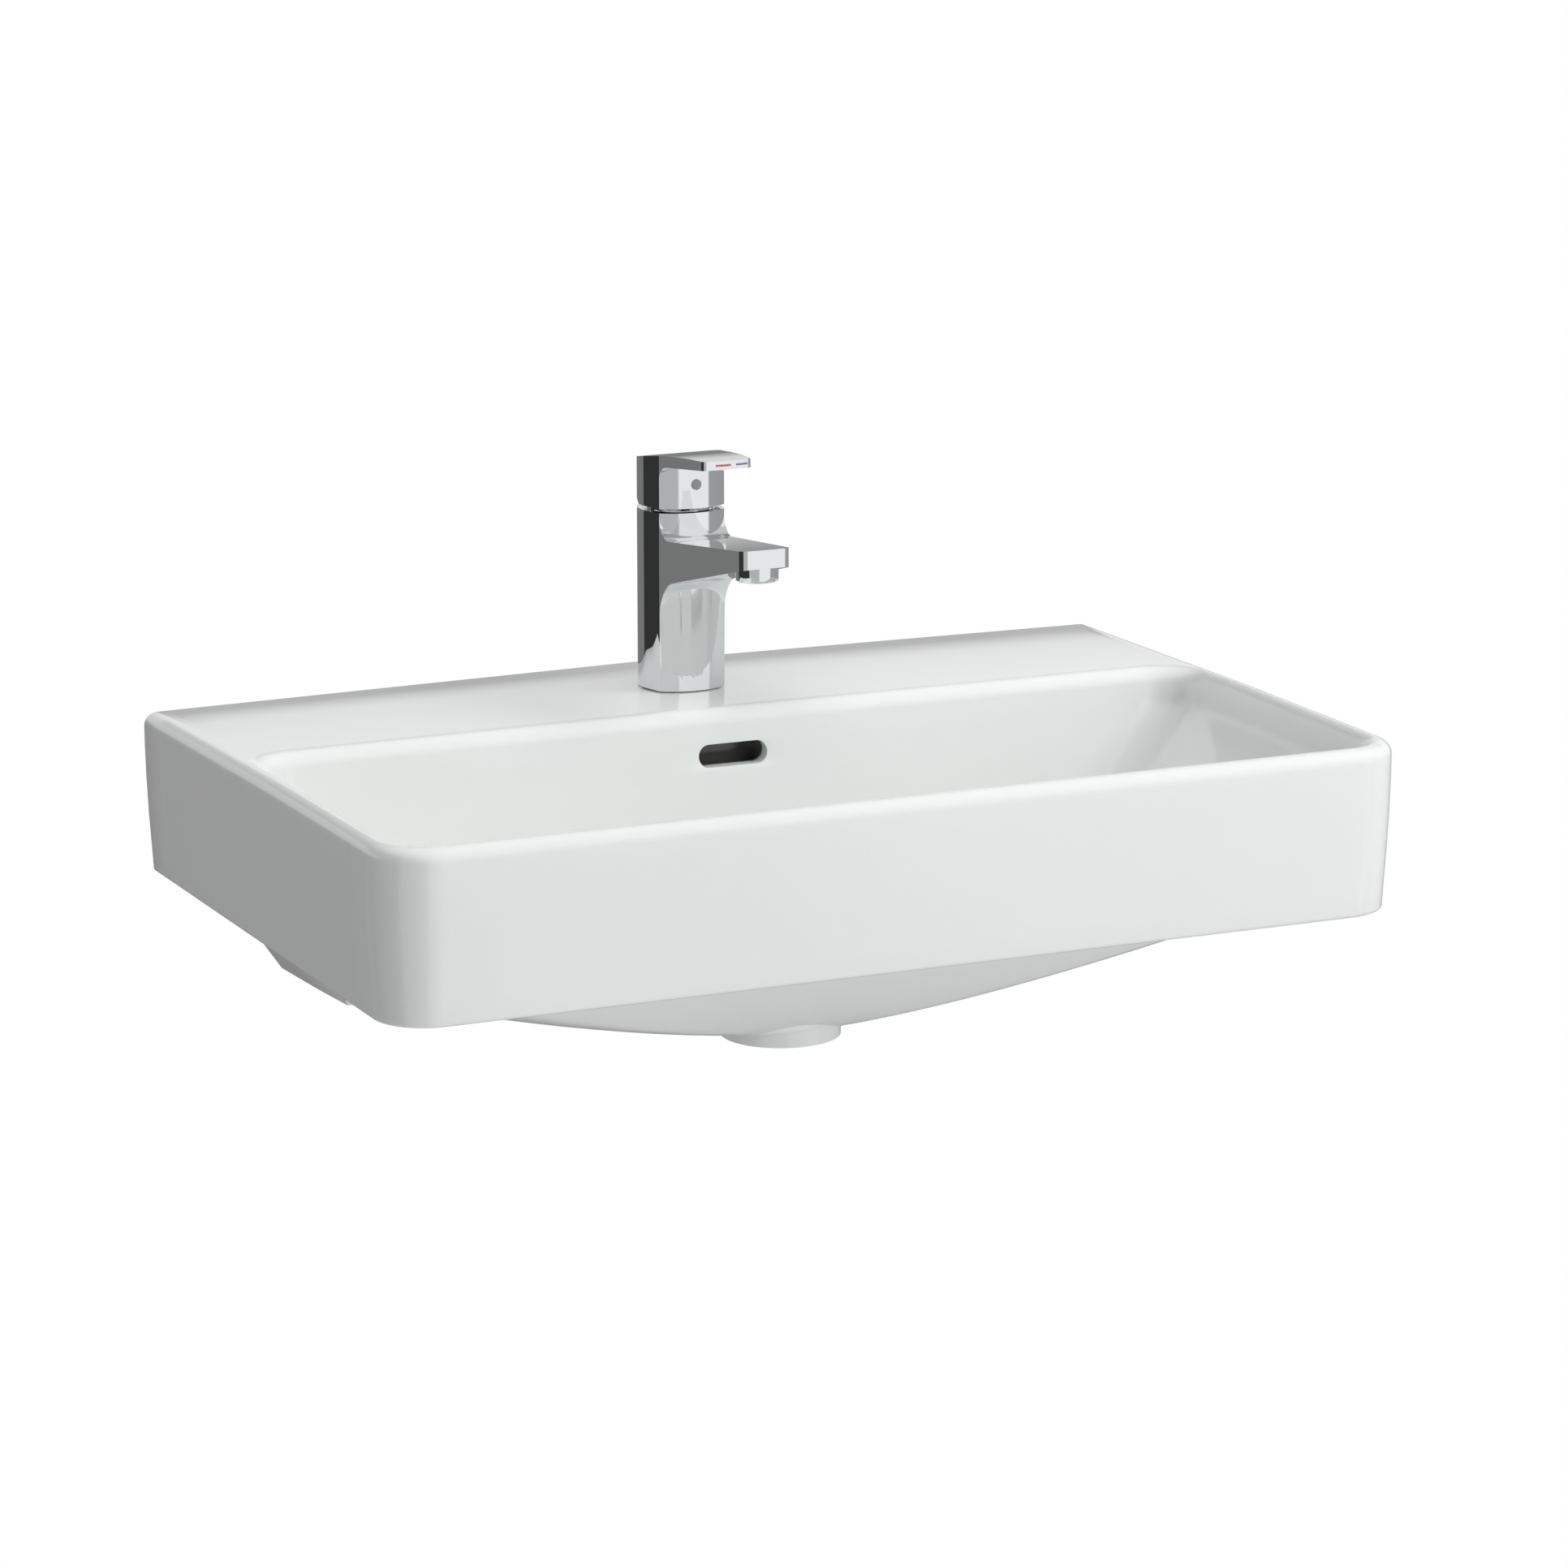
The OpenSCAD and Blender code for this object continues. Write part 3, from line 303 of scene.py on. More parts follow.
def block(low, high):
    """A box between two opposite corners."""
    bm = bmesh.new()
    bmesh.ops.create_cube(bm, size=1)
    bmesh.ops.scale(bm, vec=[b - a for a, b in zip(low, high)], verts=bm.verts)
    bmesh.ops.translate(bm, vec=[(a + b) / 2 for a, b in zip(low, high)], verts=bm.verts)
    return piece_from(bm, "block")


def rod(radius, start, end, sides=96):
    """A cylinder from one point to another."""
    start, end = Vector(start), Vector(end)
    bm = bmesh.new()
    bmesh.ops.create_cone(bm, cap_ends=True, segments=sides, radius1=radius, radius2=radius,
                          depth=(end - start).length)
    turn = Vector((0, 0, 1)).rotation_difference(end - start).to_matrix().to_4x4()
    bmesh.ops.transform(bm, matrix=Matrix.Translation((start + end) / 2) @ turn, verts=bm.verts)
    return piece_from(bm, "rod")


def profile(points, start, end, rounds=None):
    """A flat outline of (x, y) points, its corners rounded by radius, pushed from z = start to z = end."""
    bm = bmesh.new()
    corners = [bm.verts.new((x, y, start)) for x, y in points]
    rim = [bm.edges.new(pair) for pair in zip(corners, corners[1:] + corners[:1])]
    bmesh.ops.contextual_create(bm, geom=rim)
    for index, radius in (rounds or {}).items():
        here = Vector(points[index])
        one, two = ((Vector(points[k % len(points)]) - here).normalized() for k in (index - 1, index + 1))
        offset = radius / math.tan(one.angle(two) / 2)
        bmesh.ops.bevel(bm, geom=[corners[index]], affect="VERTICES", offset=offset, offset_type="OFFSET",
                        segments=16, profile=0.5, material=-1)
    made = bmesh.ops.extrude_face_region(bm, geom=list(bm.faces))["geom"]
    far_side = [v for v in made if isinstance(v, bmesh.types.BMVert)]
    bmesh.ops.translate(bm, vec=(0, 0, end - start), verts=far_side)
    return piece_from(bm, "profile")


def across(piece):
    """Turns a profile drawn as (front-back, up) so that its thickness runs from left to right."""
    piece.data.transform(Matrix(((0, 0, 1, 0), (1, 0, 0, 0), (0, 1, 0, 0), (0, 0, 0, 1))))
    return piece


def facing(piece, raised=0):
    """Turns a profile drawn as (left-right, up) so that its thickness runs from the wall to the front."""
    piece.data.transform(Matrix(((1, 0, 0, 0), (0, 0, -1, 0), (0, 1, 0, raised), (0, 0, 0, 1))))
    return piece


def ease(piece, width, angle=30, where=lambda middle: True, segments=3):
    """Rounds the edges that are sharper than the angle."""
    bm = bmesh.new()
    bm.from_mesh(piece.data)
    bmesh.ops.remove_doubles(bm, verts=bm.verts, dist=0.001)
    sharp = [e for e in bm.edges if e.is_manifold and e.calc_face_angle(0) > math.radians(angle)
             and where((e.verts[0].co + e.verts[1].co) / 2)]
    bmesh.ops.bevel(bm, geom=sharp, affect="EDGES", offset=width, offset_type="OFFSET", segments=segments,
                    profile=0.5, material=-1, clamp_overlap=True)
    bm.to_mesh(piece.data)
    bm.free()
    return piece


# %% [markdown]
# ## The basin
# The real basin is slip-cast: every edge is round, because glaze draws back from a sharp one. A single
# skin suits that better than a cut block. One ring of points is pulled up the outside, over the rim, down
# into the bowl and along its floor to the drain, and each level says how wide and how deep the ring is.

# %% The levels of the basin's skin
# Half the width, the depth from wall to front, the apron's height, the ledge's and the bowl's depth
SIDE, FRONT, APRON, LEDGE, BOWL = 299.98, 379.98, 95, 129, 140
# The drain's distance from the wall, its seat's radius, and how far the belly and the boss reach down
DRAIN, SEAT, UNDER, BOSS = 204, 31.8, 163.2, 172
# Where the rim's flat top ends at the side and in front, and the radius of its edge
RIM_SIDE, RIM_FRONT, RIM_ROUND = 292, 372, 8
# Below the rim: where the bowl's walls begin to lean and where its floor begins; then the walls' lean
CREASE, FLOOR_TOP = 20, 100
SIDE_SLOPE, FRONT_SLOPE, BACK_SLOPE = math.radians(53), math.radians(41), math.radians(8)
# The bowl's rounded rear corners, its wall, a surface within that wall, and where a straight side begins
CORNER, WALL, WALL_MIDDLE, STRAIGHT = 26, 8.5, 4, 155
# The belly's levels, and a quarter turn in ten steps
SHARES = (0, 0.06, 0.12, 0.2, 0.28, 0.36, 0.44, 0.52, 0.6, 0.68, 0.76, 0.84, 0.92, 0.97)
turns = [math.pi / 2 * k / 10 for k in range(11)]


def between(start, end, count):
    """Even steps from start to end without the two ends."""
    return [start + (end - start) * k / count for k in range(1, count)]


def outline(down, half, front, back, bend, start, rear=0):
    """Points of one level, from the right side round by the wall. start is where the straight side begins,
    and rear rounds the two corners at the wall."""
    if rear:
        corner = [(half - rear + rear * math.cos(t), -back - rear + rear * math.sin(t)) for t in turns]
    else:
        corner = [(half, -start + (start - back) * k / 6) for k in range(7)]
        corner += [(half - CORNER * k / 4, -back) for k in range(1, 5)]
    edge = corner[-1][0]
    wall = [(x, -back) for x in between(edge, -edge, 14)]
    arc = [(half - bend + bend * math.sin(t), -front + bend - bend * math.cos(t)) for t in turns]
    side = [(half, y) for y in between(-front + bend, -start, 8)]
    face = [(x, -front) for x in between(-half + bend, half - bend, 14)]
    left = [(-x, y) for x, y in reversed(corner)] + [(-x, y) for x, y in reversed(side)]
    points = corner + wall + left + [(-x, y) for x, y in reversed(arc)] + face + arc + side
    return [(x, y, RIM - down) for x, y in points]


def belly(share):
    """A level of the bowl's outside: share is 0 under the drain and 1 where the walls begin."""
    half, front, back = 32 + 226 * share, 236 + 72.5 * share, 172 - 29.5 * share
    bend = 31 + 19 * share
    return outline(UNDER - 54.7 * share**1.31, half, front, back, bend, back + 31, bend * 0.6)


under = [belly(share) for share in SHARES]
for down, grow in ((107, 1.5), (104, 4.5), (100, 8), (97, 10.5), (95.5, 13), (APRON, 16)):
    under.append(outline(down, 258 + grow, 308.5 + grow, 141, 50, 172, 30))
lip = [outline(APRON - 2.5 * (1 - math.sin(a)), 293.9 + 2.5 * math.cos(a), 373.9 + 2.5 * math.cos(a),
               0, 28, STRAIGHT) for a in (math.pi / 2, 1.2, 0.8, 0.4, 0)]
apron = []
for down in (80, 60, 40, 20, 8):
    lean = 4 * ((down - RIM_ROUND) / (APRON - RIM_ROUND)) ** 2
    apron.append(outline(down, SIDE - lean, FRONT - lean, 0, 32 - lean, STRAIGHT))
edge = []
for a in (0.2, 0.4, 0.6, 0.8, 1.0, 1.2, 1.4, math.pi / 2):
    out = RIM_ROUND * math.cos(a)
    edge.append(outline(RIM_ROUND - RIM_ROUND * math.sin(a), RIM_SIDE + out, RIM_FRONT + out, 0, 24 + out,
                        STRAIGHT))
print("outer levels:", len(under) + len(lip) + len(apron) + len(edge))


# %% The levels of the bowl
def soft_step(depth, ease_by=3):
    """Grows with the depth below a crease, and starts softly."""
    if depth < -ease_by:
        return 0
    return depth if depth > ease_by else (depth + ease_by) ** 2 / (4 * ease_by)


def roll(depth, width, height):
    """How far the rounded edge has turned inwards at a depth below the rim."""
    return width if depth >= height else width * math.sqrt(1 - (1 - depth / height) ** 2)


def bowl(depth, grow=0):
    """A level of the bowl's wall. grow gives the outside of that wall."""
    deep = max(0, depth)
    edge_in, leaning = roll(deep, RIM_ROUND, CREASE), soft_step(deep - CREASE)
    half = RIM_SIDE - edge_in - leaning / math.tan(SIDE_SLOPE) + grow
    front = RIM_FRONT - edge_in - leaning * math.tan(FRONT_SLOPE) + grow
    back = LEDGE + roll(deep, 9, 9) + soft_step(deep - 9, 1) * math.tan(BACK_SLOPE) - grow
    bend = 24 + 2 * min(1, deep / CREASE) + grow
    return outline(depth + grow, half, front, back, bend, back + CORNER + grow, CORNER + grow)


walls = [bowl(depth) for depth in (0, 0.25, 0.9, 2, 3.6, 5.6, 7.5, 9, 11, 13.5, 16, 18, CREASE, 22, 25, 35,
                                   48, 62, 76, 86, 92, 96, FLOOR_TOP)]
wide = max(x for x, y, z in walls[-1])
near_edge, far_edge = -min(y for x, y, z in walls[-1]), -max(y for x, y, z in walls[-1])


def basin_floor(share, lower=0):
    """A level of the floor: share is 1 at the walls and 0 at the drain."""
    half = SEAT + (wide - SEAT) * share
    front = DRAIN + SEAT + (near_edge - DRAIN - SEAT) * share
    back = DRAIN - SEAT - (DRAIN - SEAT - far_edge) * share
    bend = 0.98 * min(27 + 60 * (1 - share), half, (front - back) / 2)
    down = BOWL - (BOWL - FLOOR_TOP) * share**1.2 + lower
    return outline(down, half, front, back, bend, back + bend, bend)


floor = [basin_floor(share) for share in (0.97, 0.93, 0.88, 0.82, 0.74, 0.64, 0.54, 0.44, 0.34, 0.24,
                                          0.15, 0.07, 0)]
seat = [[(x, y, z - 3) for x, y, z in floor[-1]]]
seat.append([(x * 0.7, (y + DRAIN) * 0.7 - DRAIN, z) for x, y, z in seat[0]])
skin = loft(under + lip + apron + edge + walls + floor + seat)


def in_bowl(point):
    """Tells whether a point lies on the inside, round the crease where the floor begins."""
    down = RIM - point.z
    half = RIM_SIDE - RIM_ROUND - (down - CREASE) / math.tan(SIDE_SLOPE) + 1
    front = RIM_FRONT - RIM_ROUND - (down - CREASE) * math.tan(FRONT_SLOPE) + 1
    return 72 < down < 128 and abs(point.x) < half and -front < point.y < -160


near = [v for v in skin.verts if in_bowl(v.co)]
SMOOTHINGS = 14
for turn in range(SMOOTHINGS):
    bmesh.ops.smooth_vert(skin, verts=near, factor=0.5, use_axis_x=True, use_axis_y=True, use_axis_z=True)
basin = piece_from(skin, "glazed_basin")
print("skin:", len(basin.data.vertices), "points")

# %% [markdown]
# ## Drain, overflow, wall cheeks and holes
# What isn't one smooth skin is joined or cut as a potter would do it on the leather-hard clay: the boss
# under the drain and the cheeks that bear on the wall are added, then the bores, the overflow with its
# shaft and the space for the fasteners are taken out.

# %% Join the cheeks and the boss, then cut the openings
cheeks = facing(profile([(-266, -12), (-266, -20), (-221, -85), (221, -85), (266, -20), (266, -12)],
                        0, 190))
cheek_side = [(1, -12), (1, -85), (-72, -80), (-126, -75), (-190, -20), (-190, -12)]
cut(cheeks, across(profile(cheek_side, -300, 300)), "INTERSECT")


def inside_wall():
    """What lies within the middle of the bowl's wall: it is taken from all that is joined from outside."""
    levels = [bowl(depth, WALL_MIDDLE) for depth in (-20, 0, 9, CREASE, 25, 60, 96)]
    levels += [basin_floor(share, WALL_MIDDLE) for share in (0.97, 0.88, 0.74, 0.54, 0.34, 0.15, 0)]
    return piece_from(loft(levels), "inside")


cut(basin, cut(cheeks, inside_wall()), "UNION")
# The hollow between skin and bowl, with the hollow of the cheeks
hollow = piece_from(loft([outline(down, 291.5 - down / 30, 371.5 - down / 30, 12, 23, STRAIGHT)
                          for down in (16, 40, 86.5)]), "hollow")
inner = facing(profile([(-257.5, -12.5), (-257.5, -20), (-212.5, -76.5), (212.5, -76.5), (257.5, -20),
                        (257.5, -12.5)], 12, 190))
inner_side = [(1, -12.5), (1, -76.5), (-72, -71.5), (-126, -66.5), (-181.5, -20), (-181.5, -12.5)]
cut(hollow, cut(inner, across(profile(inner_side, -300, 300)), "INTERSECT"), "UNION")
around_bowl = [bowl(depth, WALL) for depth in (-20, 0, 9, CREASE, 25, 60, FLOOR_TOP)]
cut(hollow, piece_from(loft(around_bowl + [belly(share) for share in (0.9, 0.5, 0)]), "bowl_wall"))
cut(basin, hollow)
# The space for the fasteners under the ledge
service = profile([(-12, -200), (-12, RIM - 20), (-131.5, RIM - 20), (-142.5, RIM - 104),
                   (-143, RIM - 109), (-151, RIM - 128), (-151, -200)], -212.5, 212.5)
cut(basin, across(service))
# The overflow's duct, the bridge to the drain and the boss, then the shaft and the way to the drain
duct = profile([(-110.9, RIM - 8), (-134, RIM - 8), (-134, RIM - 20), (-146.5, RIM - 60),
                (-146.5, RIM - 163), (-110.9, RIM - 163)], -28, 28)
cut(basin, cut(across(duct), inside_wall()), "UNION")
cut(basin, block((-19, -DRAIN, RIM - 163), (19, -117.9, RIM - 143.5)), "UNION")
cut(basin, rod(33.75, (0, -DRAIN, RIM - BOSS), (0, -DRAIN, RIM - 150)), "UNION")
cut(basin, block((-21, -131.9, RIM - 158), (21, -117.9, RIM - 18)))
cut(basin, block((-12, -DRAIN, RIM - 158), (12, -120, RIM - 150)))
# The drain's stepped bore, the tap hole, the two holes in the wall and the overflow's slot
cut(basin, turned([(0, -120), (29, -120), (29, RIM - 160), (23, RIM - 160), (23, RIM - 138),
                   (0, RIM - 138)], (0, -DRAIN, 0)))
cut(basin, rod(17.5, (0, -66, 50), (0, -66, 90)))
for side in (-140, 140):
    cut(basin, rod(7, (side, -30, 0), (side, 10, 0)))
slot = profile([(-21, -6.5), (21, -6.5), (21, 6.5), (-21, 6.5)], 125, 150,
               {corner: 6.49 for corner in range(4)})
cut(basin, facing(slot, RIM - 26))
# The slot's edge and the edges at the wall
ease(basin, 1.3, 50, lambda m: -143 < m.y < -137 and abs(m.x) < 24 and 38 < m.z < 58)
ease(basin, 1.5, 50, lambda m: m.y > -1)
# The top drops by this much towards its two rear corners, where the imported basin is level
DROOP = 2.8
for vert in basin.data.vertices:
    along, out, high = vert.co.y / 200 + 1, abs(vert.co.x) / SIDE, (vert.co.z - RIM + 30) / 30
    if along > 0 and high > 0:
        vert.co.z -= DROOP * along * out * high
dress(basin, "root", ["basin"], 35)

# %% [markdown]
# ## The tap's body and spout
# The real body is a chromed brass casting. In plan it is round at the back, flat at both sides and gently
# rounded in front, and the spout leaves its front with a soft hollow above and a wide arch below. Here the
# plan is pushed up to a column, and the spout is the common part of its side view and its plan.

# %% The tap's plan
TAP = Vector((0, -66, RIM))
BODY_TOP, HUB_LOW = 103.5, 106


def section(front=64, rear=96):
    """The plan of body and hub: the front arc, two flats and the round back, as points round the axis."""
    corner = 48.3  # degrees from the front to the edge between front arc and flat side
    angles = [-corner + 2 * corner * k / front for k in range(front + 1)] + [62, 76]
    angles += [76 + 208 * k / rear for k in range(1, rear)] + [284, 298]
    points = []
    for degrees in angles:
        a = math.radians(degrees)
        off = min(degrees, 360 - degrees)
        face = math.sqrt(34**2 - (9.5 * math.sin(a)) ** 2) - 9.5 * math.cos(a)
        flat = 24 / math.cos(math.radians(76 - abs(off))) if abs(off) < 76 else 24
        reach = min(face, flat) if abs(off) < 90 else flat
        points.append((reach * math.sin(a), -reach * math.cos(a)))
    return points


def arm(reach, tip, bend, corner, root_y=18, root=20.2):
    """The plan of an arm from the axis to a convex tip with rounded corners."""
    taper = math.atan((root - tip / 2) / (reach - root_y))
    half = tip / 2
    turn = math.acos((half - corner * math.cos(taper)) / (bend - corner))
    right, x, y = [], half, 0.0
    stops = [taper + (turn - taper) * k / 10 for k in range(11)]
    stops += [turn + (math.pi / 2 - turn) * k / 12 for k in range(1, 13)]
    for one, two in zip(stops, stops[1:]):
        right.append((x, y))
        r = corner if two <= turn + 1e-6 else bend
        x -= r * (math.cos(one) - math.cos(two))
        y -= r * (math.sin(two) - math.sin(one))
    shift = -reach - y
    right = [(a, b + shift) for a, b in right]
    start = (root + math.tan(taper) * root_y, 0)
    return [start] + right + [(0, -reach)] + [(-a, b) for a, b in reversed(right)] + [(-start[0], 0)]


column = profile(section(), 0.6, BODY_TOP)
spout = across(profile([(0, 101), (-18.02, 101), (-18.02, 88), (-130, 99.96), (-130, 90.8), (-18.02, 62),
                        (-18.02, 30), (0, 30)], -30, 30, {2: 11, 5: 23}))
cut(spout, profile(arm(121, 30, 75, 5), 0, BODY_TOP), "INTERSECT")
tap_body = cut(column, spout, "UNION")
tap_body.name = "chrome_tap_body"
ease(tap_body, 0.5, 35, segments=2)
# The seal's groove, the hollow foot, the holes of both hoses and of the stud
cut(tap_body, cut(rod(21.3, (0, 0, -1), (0, 0, 2.1)), rod(18.9, (0, 0, -2), (0, 0, 3))))
cut(tap_body, rod(17.6, (0, 0, -1), (0, 0, 48)))
for side in (-8, 8):
    cut(tap_body, rod(4.7, (side, -3, 47), (side, -3, 59), 48))
cut(tap_body, rod(4.05, (0, 13, 47), (0, 13, 59), 48))
# The bore for the cartridge and its nut, then the seat of the aerator
cut(tap_body, rod(17.6, (0, 0, 64), (0, 0, 110)))
cut(tap_body, rod(19, (0, 0, 96), (0, 0, 110)))
cut(tap_body, rod(12.1, (0, -107, 60), (0, -107, 88.5)))
cut(tap_body, rod(10.8, (0, -107, 87), (0, -107, 91.8)))
cut(tap_body, rod(7.9, (0, -107, 91), (0, -107, 93.9)))
tap_body.data.transform(Matrix.Translation(TAP))
dress(tap_body, "root", ["tap_body"], 12)

# %% [markdown]
# ## The lever
# The lever is cast in one piece with its hub. Its top is a very flat arch from the hub's back to the tip,
# its underside rises towards the tip, and the hub's rear is bevelled so that it can tilt. The hollow under
# it clears the dome, and two small recesses in the end face hold the colour marks.

# %% Hub, tongue, hollow and recesses
# The top's arch goes through the hub's heel and the tip, seen from the side as (y, z)
LEVER_ARCH, HUB_BEVEL = 500, math.radians(21)
heel, tip = Vector((25, 129)), Vector((-69, 140.5))
chord = tip - heel
rise = math.sqrt(LEVER_ARCH**2 - chord.length**2 / 4)
middle = (heel + tip) / 2 + Vector((-chord.y, chord.x)) * rise / chord.length
hub = profile(section(), HUB_LOW, 160)
hub_rear = (25, HUB_LOW + 25 * math.tan(HUB_BEVEL))
cut(hub, across(profile([hub_rear, (25, 200), (-60, 200), (-60, HUB_LOW - 1), (-0.4, HUB_LOW - 1)],
                        -30, 30)), "INTERSECT")
tongue = across(profile([(0, 107), (-17, 107), (-18.02, 130.14), (-80, 136.66), (-80, 180), (0, 180)],
                        -30, 30, {2: 9}))
cut(tongue, profile(arm(69, 30, 60, 3), HUB_LOW, 170), "INTERSECT")
lever = cut(hub, tongue, "UNION")
lever.name = "chrome_lever"
arch = [(y, middle.y + math.sqrt(LEVER_ARCH**2 - (y - middle.x) ** 2))
        for y in [30 - 110 * k / 40 for k in range(41)]]
cut(lever, across(profile(arch + [(-80, 100), (30, 100)], -30, 30)), "INTERSECT")
ease(lever, 0.5, 35, segments=2)
# The hollow over the dome, the spindle's square, the screw's bore with its plug's recess, the marks
ball = bmesh.new()
bmesh.ops.create_uvsphere(ball, u_segments=96, v_segments=64, radius=25.56)
bmesh.ops.translate(ball, vec=(0, 0, 90), verts=ball.verts)
cut(lever, piece_from(ball, "ball"))
cut(lever, block((-4.1, -4.1, 103), (4.1, 4.1, 127.6)))
cut(lever, rod(2.5, (0, 0, 119.7), (0, -40, 119.7), 48))
cut(lever, rod(3.12, (0, -23.5, 119.7), (0, -40, 119.7), 64))
for low, high in ((-7.65, 1.45), (4.6, 12.2)):
    bow = [(x, x * x / 120 - 68.6) for x in [low + (high - low) * k / 8 for k in range(9)]]
    cut(lever, profile([(high, -72), (low, -72)] + bow, 137.4, 138.6))
lever.data.transform(Matrix.Translation(TAP))
dress(lever, "lever", ["lever"], 12)

# %% [markdown]
# ## Dome, screw plug and aerator ring
# These are turned parts on the real tap, so each is one outline that is spun round its axis.

# %% Turned chrome parts
def dome_arc(radius, hole=14):
    """Points of an upright arc round the lift pivot, from the body's top up to the hole."""
    low, high = math.acos(13.5 / radius), math.asin(hole / radius)
    turn = [low + (high - low) * k / 16 for k in range(17)]
    return [(radius * math.sin(t), 90 + radius * math.cos(t)) for t in turn]


dome = turned(dome_arc(24.96) + dome_arc(23.56)[::-1], TAP, True)
dome.name = "chrome_dome"
dress(dome, "root", ["trim_dome"], 35)

ring = [(8.4, 79.5), (11.1, 79.5), (11.55, 79.62), (11.88, 79.95), (12, 80.4), (12, 88.1), (11.9, 88.4),
        (11.6, 88.5), (10.7, 88.5), (10.7, 90.3), (9.6, 90.3), (9.6, 80.5), (8.4, 80.5)]
nozzle = turned(ring, TAP + Vector((0, -107, 0)), True)
nozzle.name = "chrome_nozzle"
dress(nozzle, "root", ["aerator_ring"], 35)

button = turned([(0, 0), (2.75, 0), (2.93, 0.08), (3, 0.25), (3, 1), (0, 1)], (0, 0, 0), sides=64)
button.name = "screw_cover"
to_hub = Matrix.Translation(TAP + Vector((0, -24.5, 119.7)))
button.data.transform(to_hub @ Matrix.Rotation(-math.pi / 2, 4, "X"))
dress(button, "lever", ["screw_plug"], 35)

crown = [(28 - 28 * k / 14, 5.8 - (28 - 28 * k / 14) ** 2 / 300) for k in range(1, 15)]
cap = turned([(0, 1.8), (3, 1.8), (3, -2.3), (12, -2.3), (12, 1.8), (27.7, 1.8), (28, 2.1), (28, 2.8),
              (27.7, 3.15)] + crown, (0, -DRAIN, RIM - BOWL))
cap.name = "chrome_plug_cap"
dress(cap, "plug", ["plug_cap"], 35)

# %% [markdown]
# ## Camera
# The camera stands where the photograph was taken: a little to the left, thirteen degrees above level and
# more than three metres away with a long lens, so the edges of the basin hardly converge.

# %% Camera at the photograph's angle
azimuth, elevation, distance = math.radians(-24.72), math.radians(13.19), 3.26138
back = Vector((math.sin(azimuth) * math.cos(elevation), -math.cos(azimuth) * math.cos(elevation),
               math.sin(elevation)))
right = Vector((math.cos(azimuth), math.sin(azimuth), 0))
up = back.cross(right)
target = Vector((0, -0.190, -0.005)) + 0.00785 * right + 0.04603 * up
lens = bpy.data.cameras.new("camera")
lens.lens, lens.sensor_width, lens.clip_end = 134.38, 36, 100
camera = bpy.data.objects.new("camera", lens)
bpy.context.scene.collection.objects.link(camera)
turn = Matrix((right, up, back)).transposed().to_4x4()
camera.matrix_world = Matrix.Translation(target + back * distance) @ turn
bpy.context.scene.camera = camera
print("camera at", [round(c, 3) for c in camera.matrix_world.translation])

# %% [markdown]
# ## Floor, lamps and the room that the chrome mirrors
# The floor is pale and lies at its real height below the basin. To the camera it is white, as the
# photograph's ground is. Chrome shows nothing but what stands round it, so rays that leave a
# glossy surface see a studio drawn by direction: grey walls, one dark strip at the left, a bright
# window at the front, a pale strip low at the rear and a grey ceiling. Three soft lamps light the glaze.

# %% The floor
bm = bmesh.new()
FLOOR_SIZE, FLOOR_LEVEL = 8000, -850
bmesh.ops.create_grid(bm, x_segments=1, y_segments=1, size=FLOOR_SIZE)
bmesh.ops.translate(bm, vec=(0, 0, FLOOR_LEVEL), verts=bm.verts)
ground = piece_from(bm, "floor")
ground.data.transform(Matrix.Scale(MM, 4))
paint = bpy.data.materials.new("pale floor")
paint.use_nodes = True
tree = paint.node_tree
tree.nodes["Principled BSDF"].inputs["Base Color"].default_value = (0.95, 0.95, 0.95, 1)
start = Wire(tree)
seen = start.add("LightPath")
glow = start.add("Emission", None, {"Color": (1.0, 1.0, 1.0), "Strength": 1.0})
lit = Wire(tree, tree.nodes["Principled BSDF"].outputs[0])
mixed = start.add("MixShader", None, {0: seen, 1: lit, 2: glow})
start.feed(tree.nodes["Material Output"].inputs["Surface"], mixed)
ground.data.materials.append(paint)
ground.visible_glossy = False


# %% The room by direction
world = bpy.data.worlds.new("studio")
bpy.context.scene.world = world
world.use_nodes = True
tree = world.node_tree
tree.nodes.clear()
start = Wire(tree)
x, y, z = axes(start, start.add("TexCoord", output=0))
around = start.sum("ARCTAN2", x, 0 - y) * (180 / math.pi)
share = (around + 180) * (1 / 360)
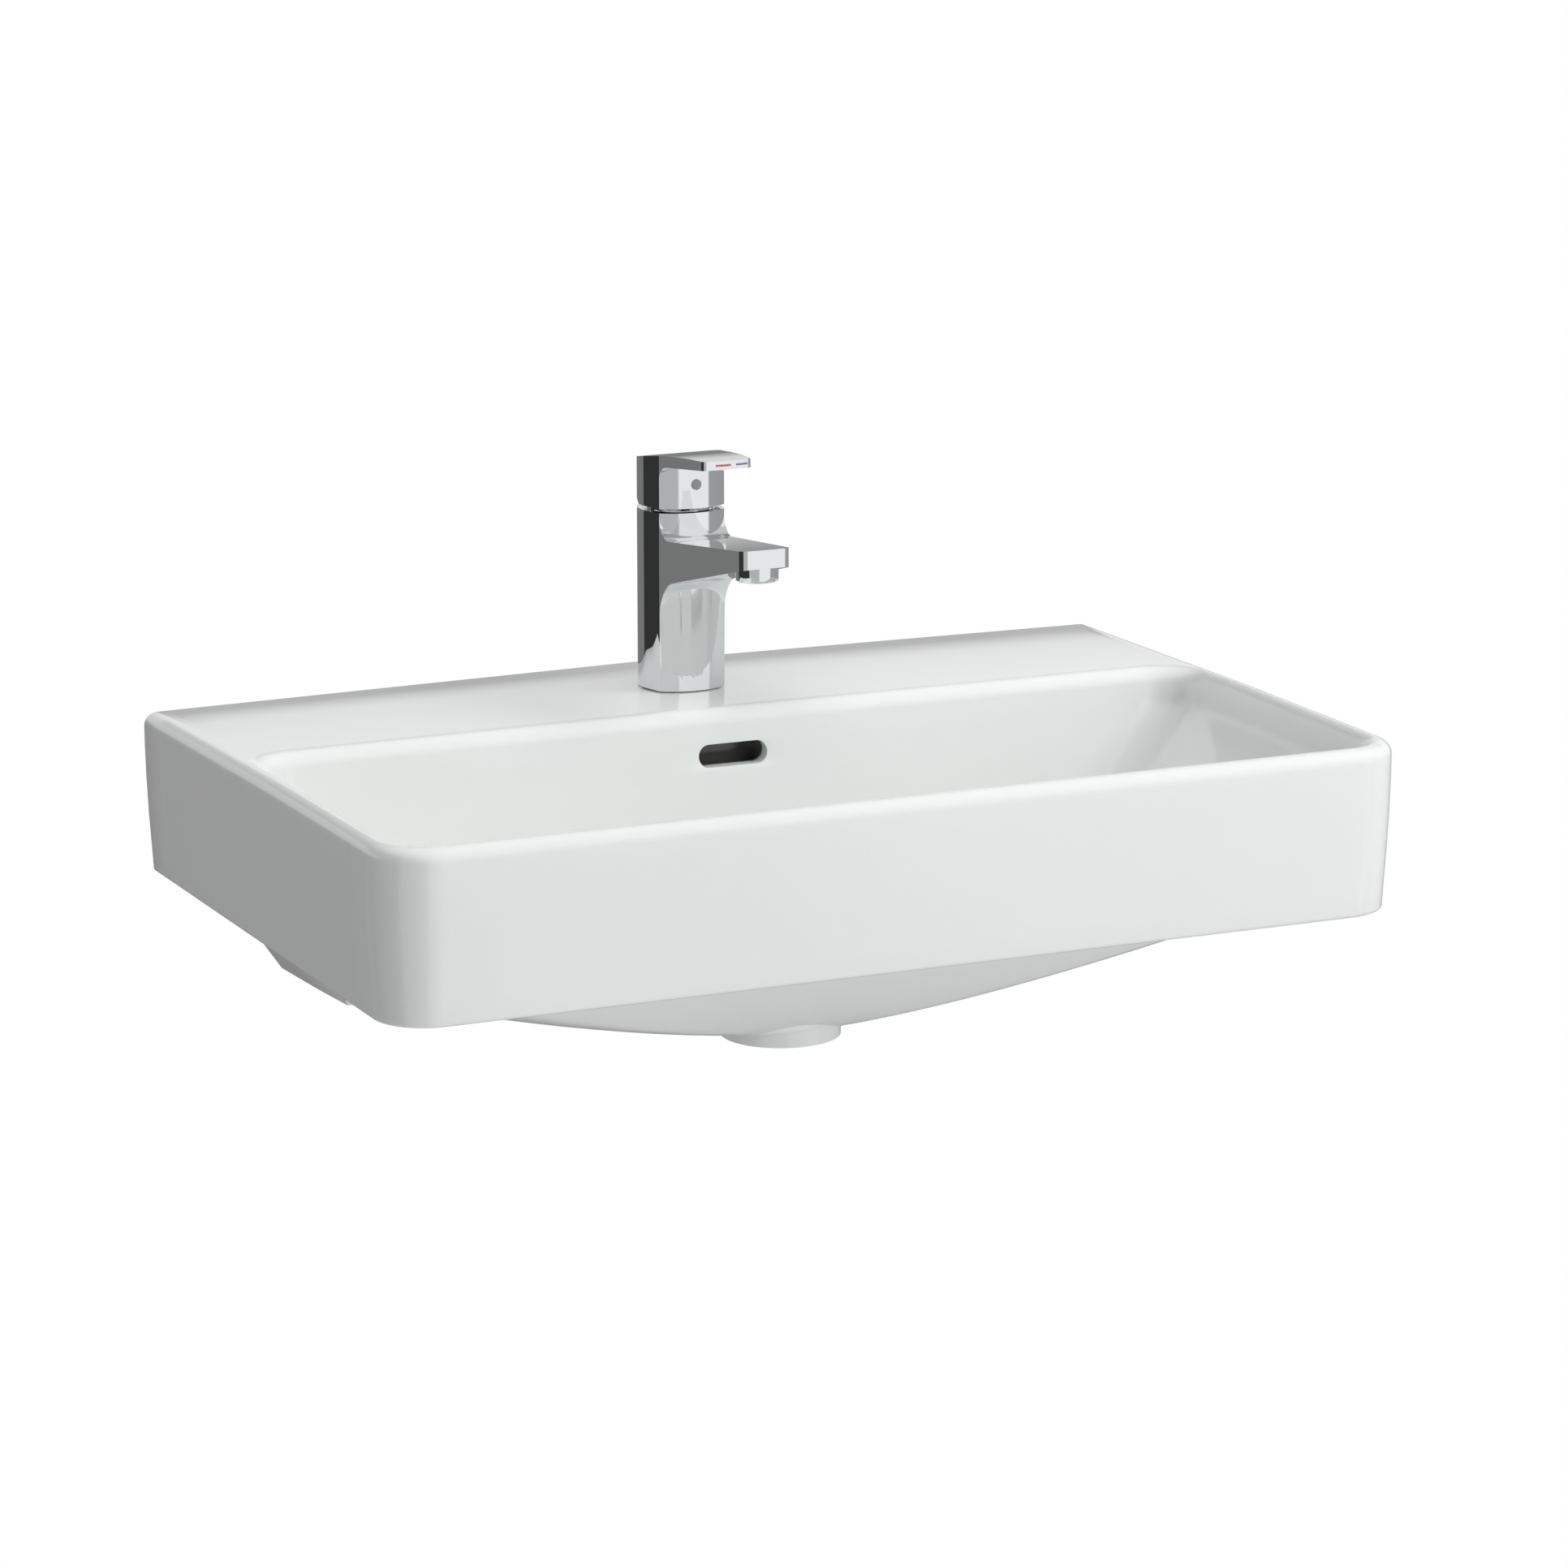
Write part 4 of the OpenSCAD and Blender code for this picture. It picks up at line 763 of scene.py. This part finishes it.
# Degrees from the front, to the right positive, with the brightness that starts there
steps = [(-180, 0.20), (-140, 0.20), (-136, 0.035), (-66, 0.035), (-64, 0.50), (-13, 0.52), (-10, 0.95),
         (49, 0.95), (53, 0.38), (120, 0.34), (160, 0.22), (180, 0.20)]
room = start.add("ValToRGB", {"stops": [((a + 180) / 360, b) for a, b in steps]}, {0: share})
# A pale strip low on the rear wall, which the flat glazed ledge mirrors at a flat angle
REAR_STRIP, CEILING = (0.72, 0.72, 0.72), (0.62, 0.62, 0.62)
rising = ramp(start, z, -0.02, 0.08)
falling = ramp(start, z, 0.31, 0.37, 1.0, 0.0)
behind = ramp(start, y, 0.1, 0.4)
room = blend(start, rising * falling * behind, room, REAR_STRIP)
light = blend(start, ramp(start, z, 0.70, 0.82), room, CEILING)
paths = start.add("LightPath", output=0)
glossy = start.add("LightPath", output=3)
# What the glaze gets from the room: more from the right, and a little more from above
ambient = ramp(start, x, -1.0, 1.0, 0.07, 0.62)
above = ramp(start, z, 0.3, 0.9, 0.0, 0.25)
plain = start.add("Background", None, {"Color": (1.0, 1.0, 1.0), "Strength": ambient + above})
white = start.add("Background", None, {"Color": (1.0, 1.0, 1.0), "Strength": 1.0})
mirrored = start.add("Background", None, {"Color": light, "Strength": 1.0})
shown = start.add("MixShader", None, {0: glossy, 1: plain, 2: mirrored})
shown = start.add("MixShader", None, {0: paths, 1: shown, 2: white})
output = tree.nodes.new("ShaderNodeOutputWorld")
tree.links.new(shown.socket, output.inputs["Surface"])
print("room steps:", len(steps))


# %% Soft lamps
def lamp(name, place, size, power):
    """A square soft box that faces the basin and that no glossy surface shows."""
    data = bpy.data.lights.new(name, "AREA")
    data.size, data.energy = size, power
    made = bpy.data.objects.new(name, data)
    bpy.context.scene.collection.objects.link(made)
    made.location = place
    made.rotation_euler = (Vector(place) - Vector((0, -0.2, 0))).to_track_quat("Z", "Y").to_euler()
    made.visible_glossy = False
    return made


lamp("key", (1.9, -1.3, 1.9), 0.9, 28)
lamp("front", (1.2, -2.9, 0.9), 2.0, 24)
lamp("top", (-0.6, -0.35, 2.5), 1.6, 20)

# %% [markdown]
# ## The view transform
# The render's colours go through the plain Standard view transform.

# %% The plain view transform
bpy.context.scene.view_settings.view_transform = "Standard"
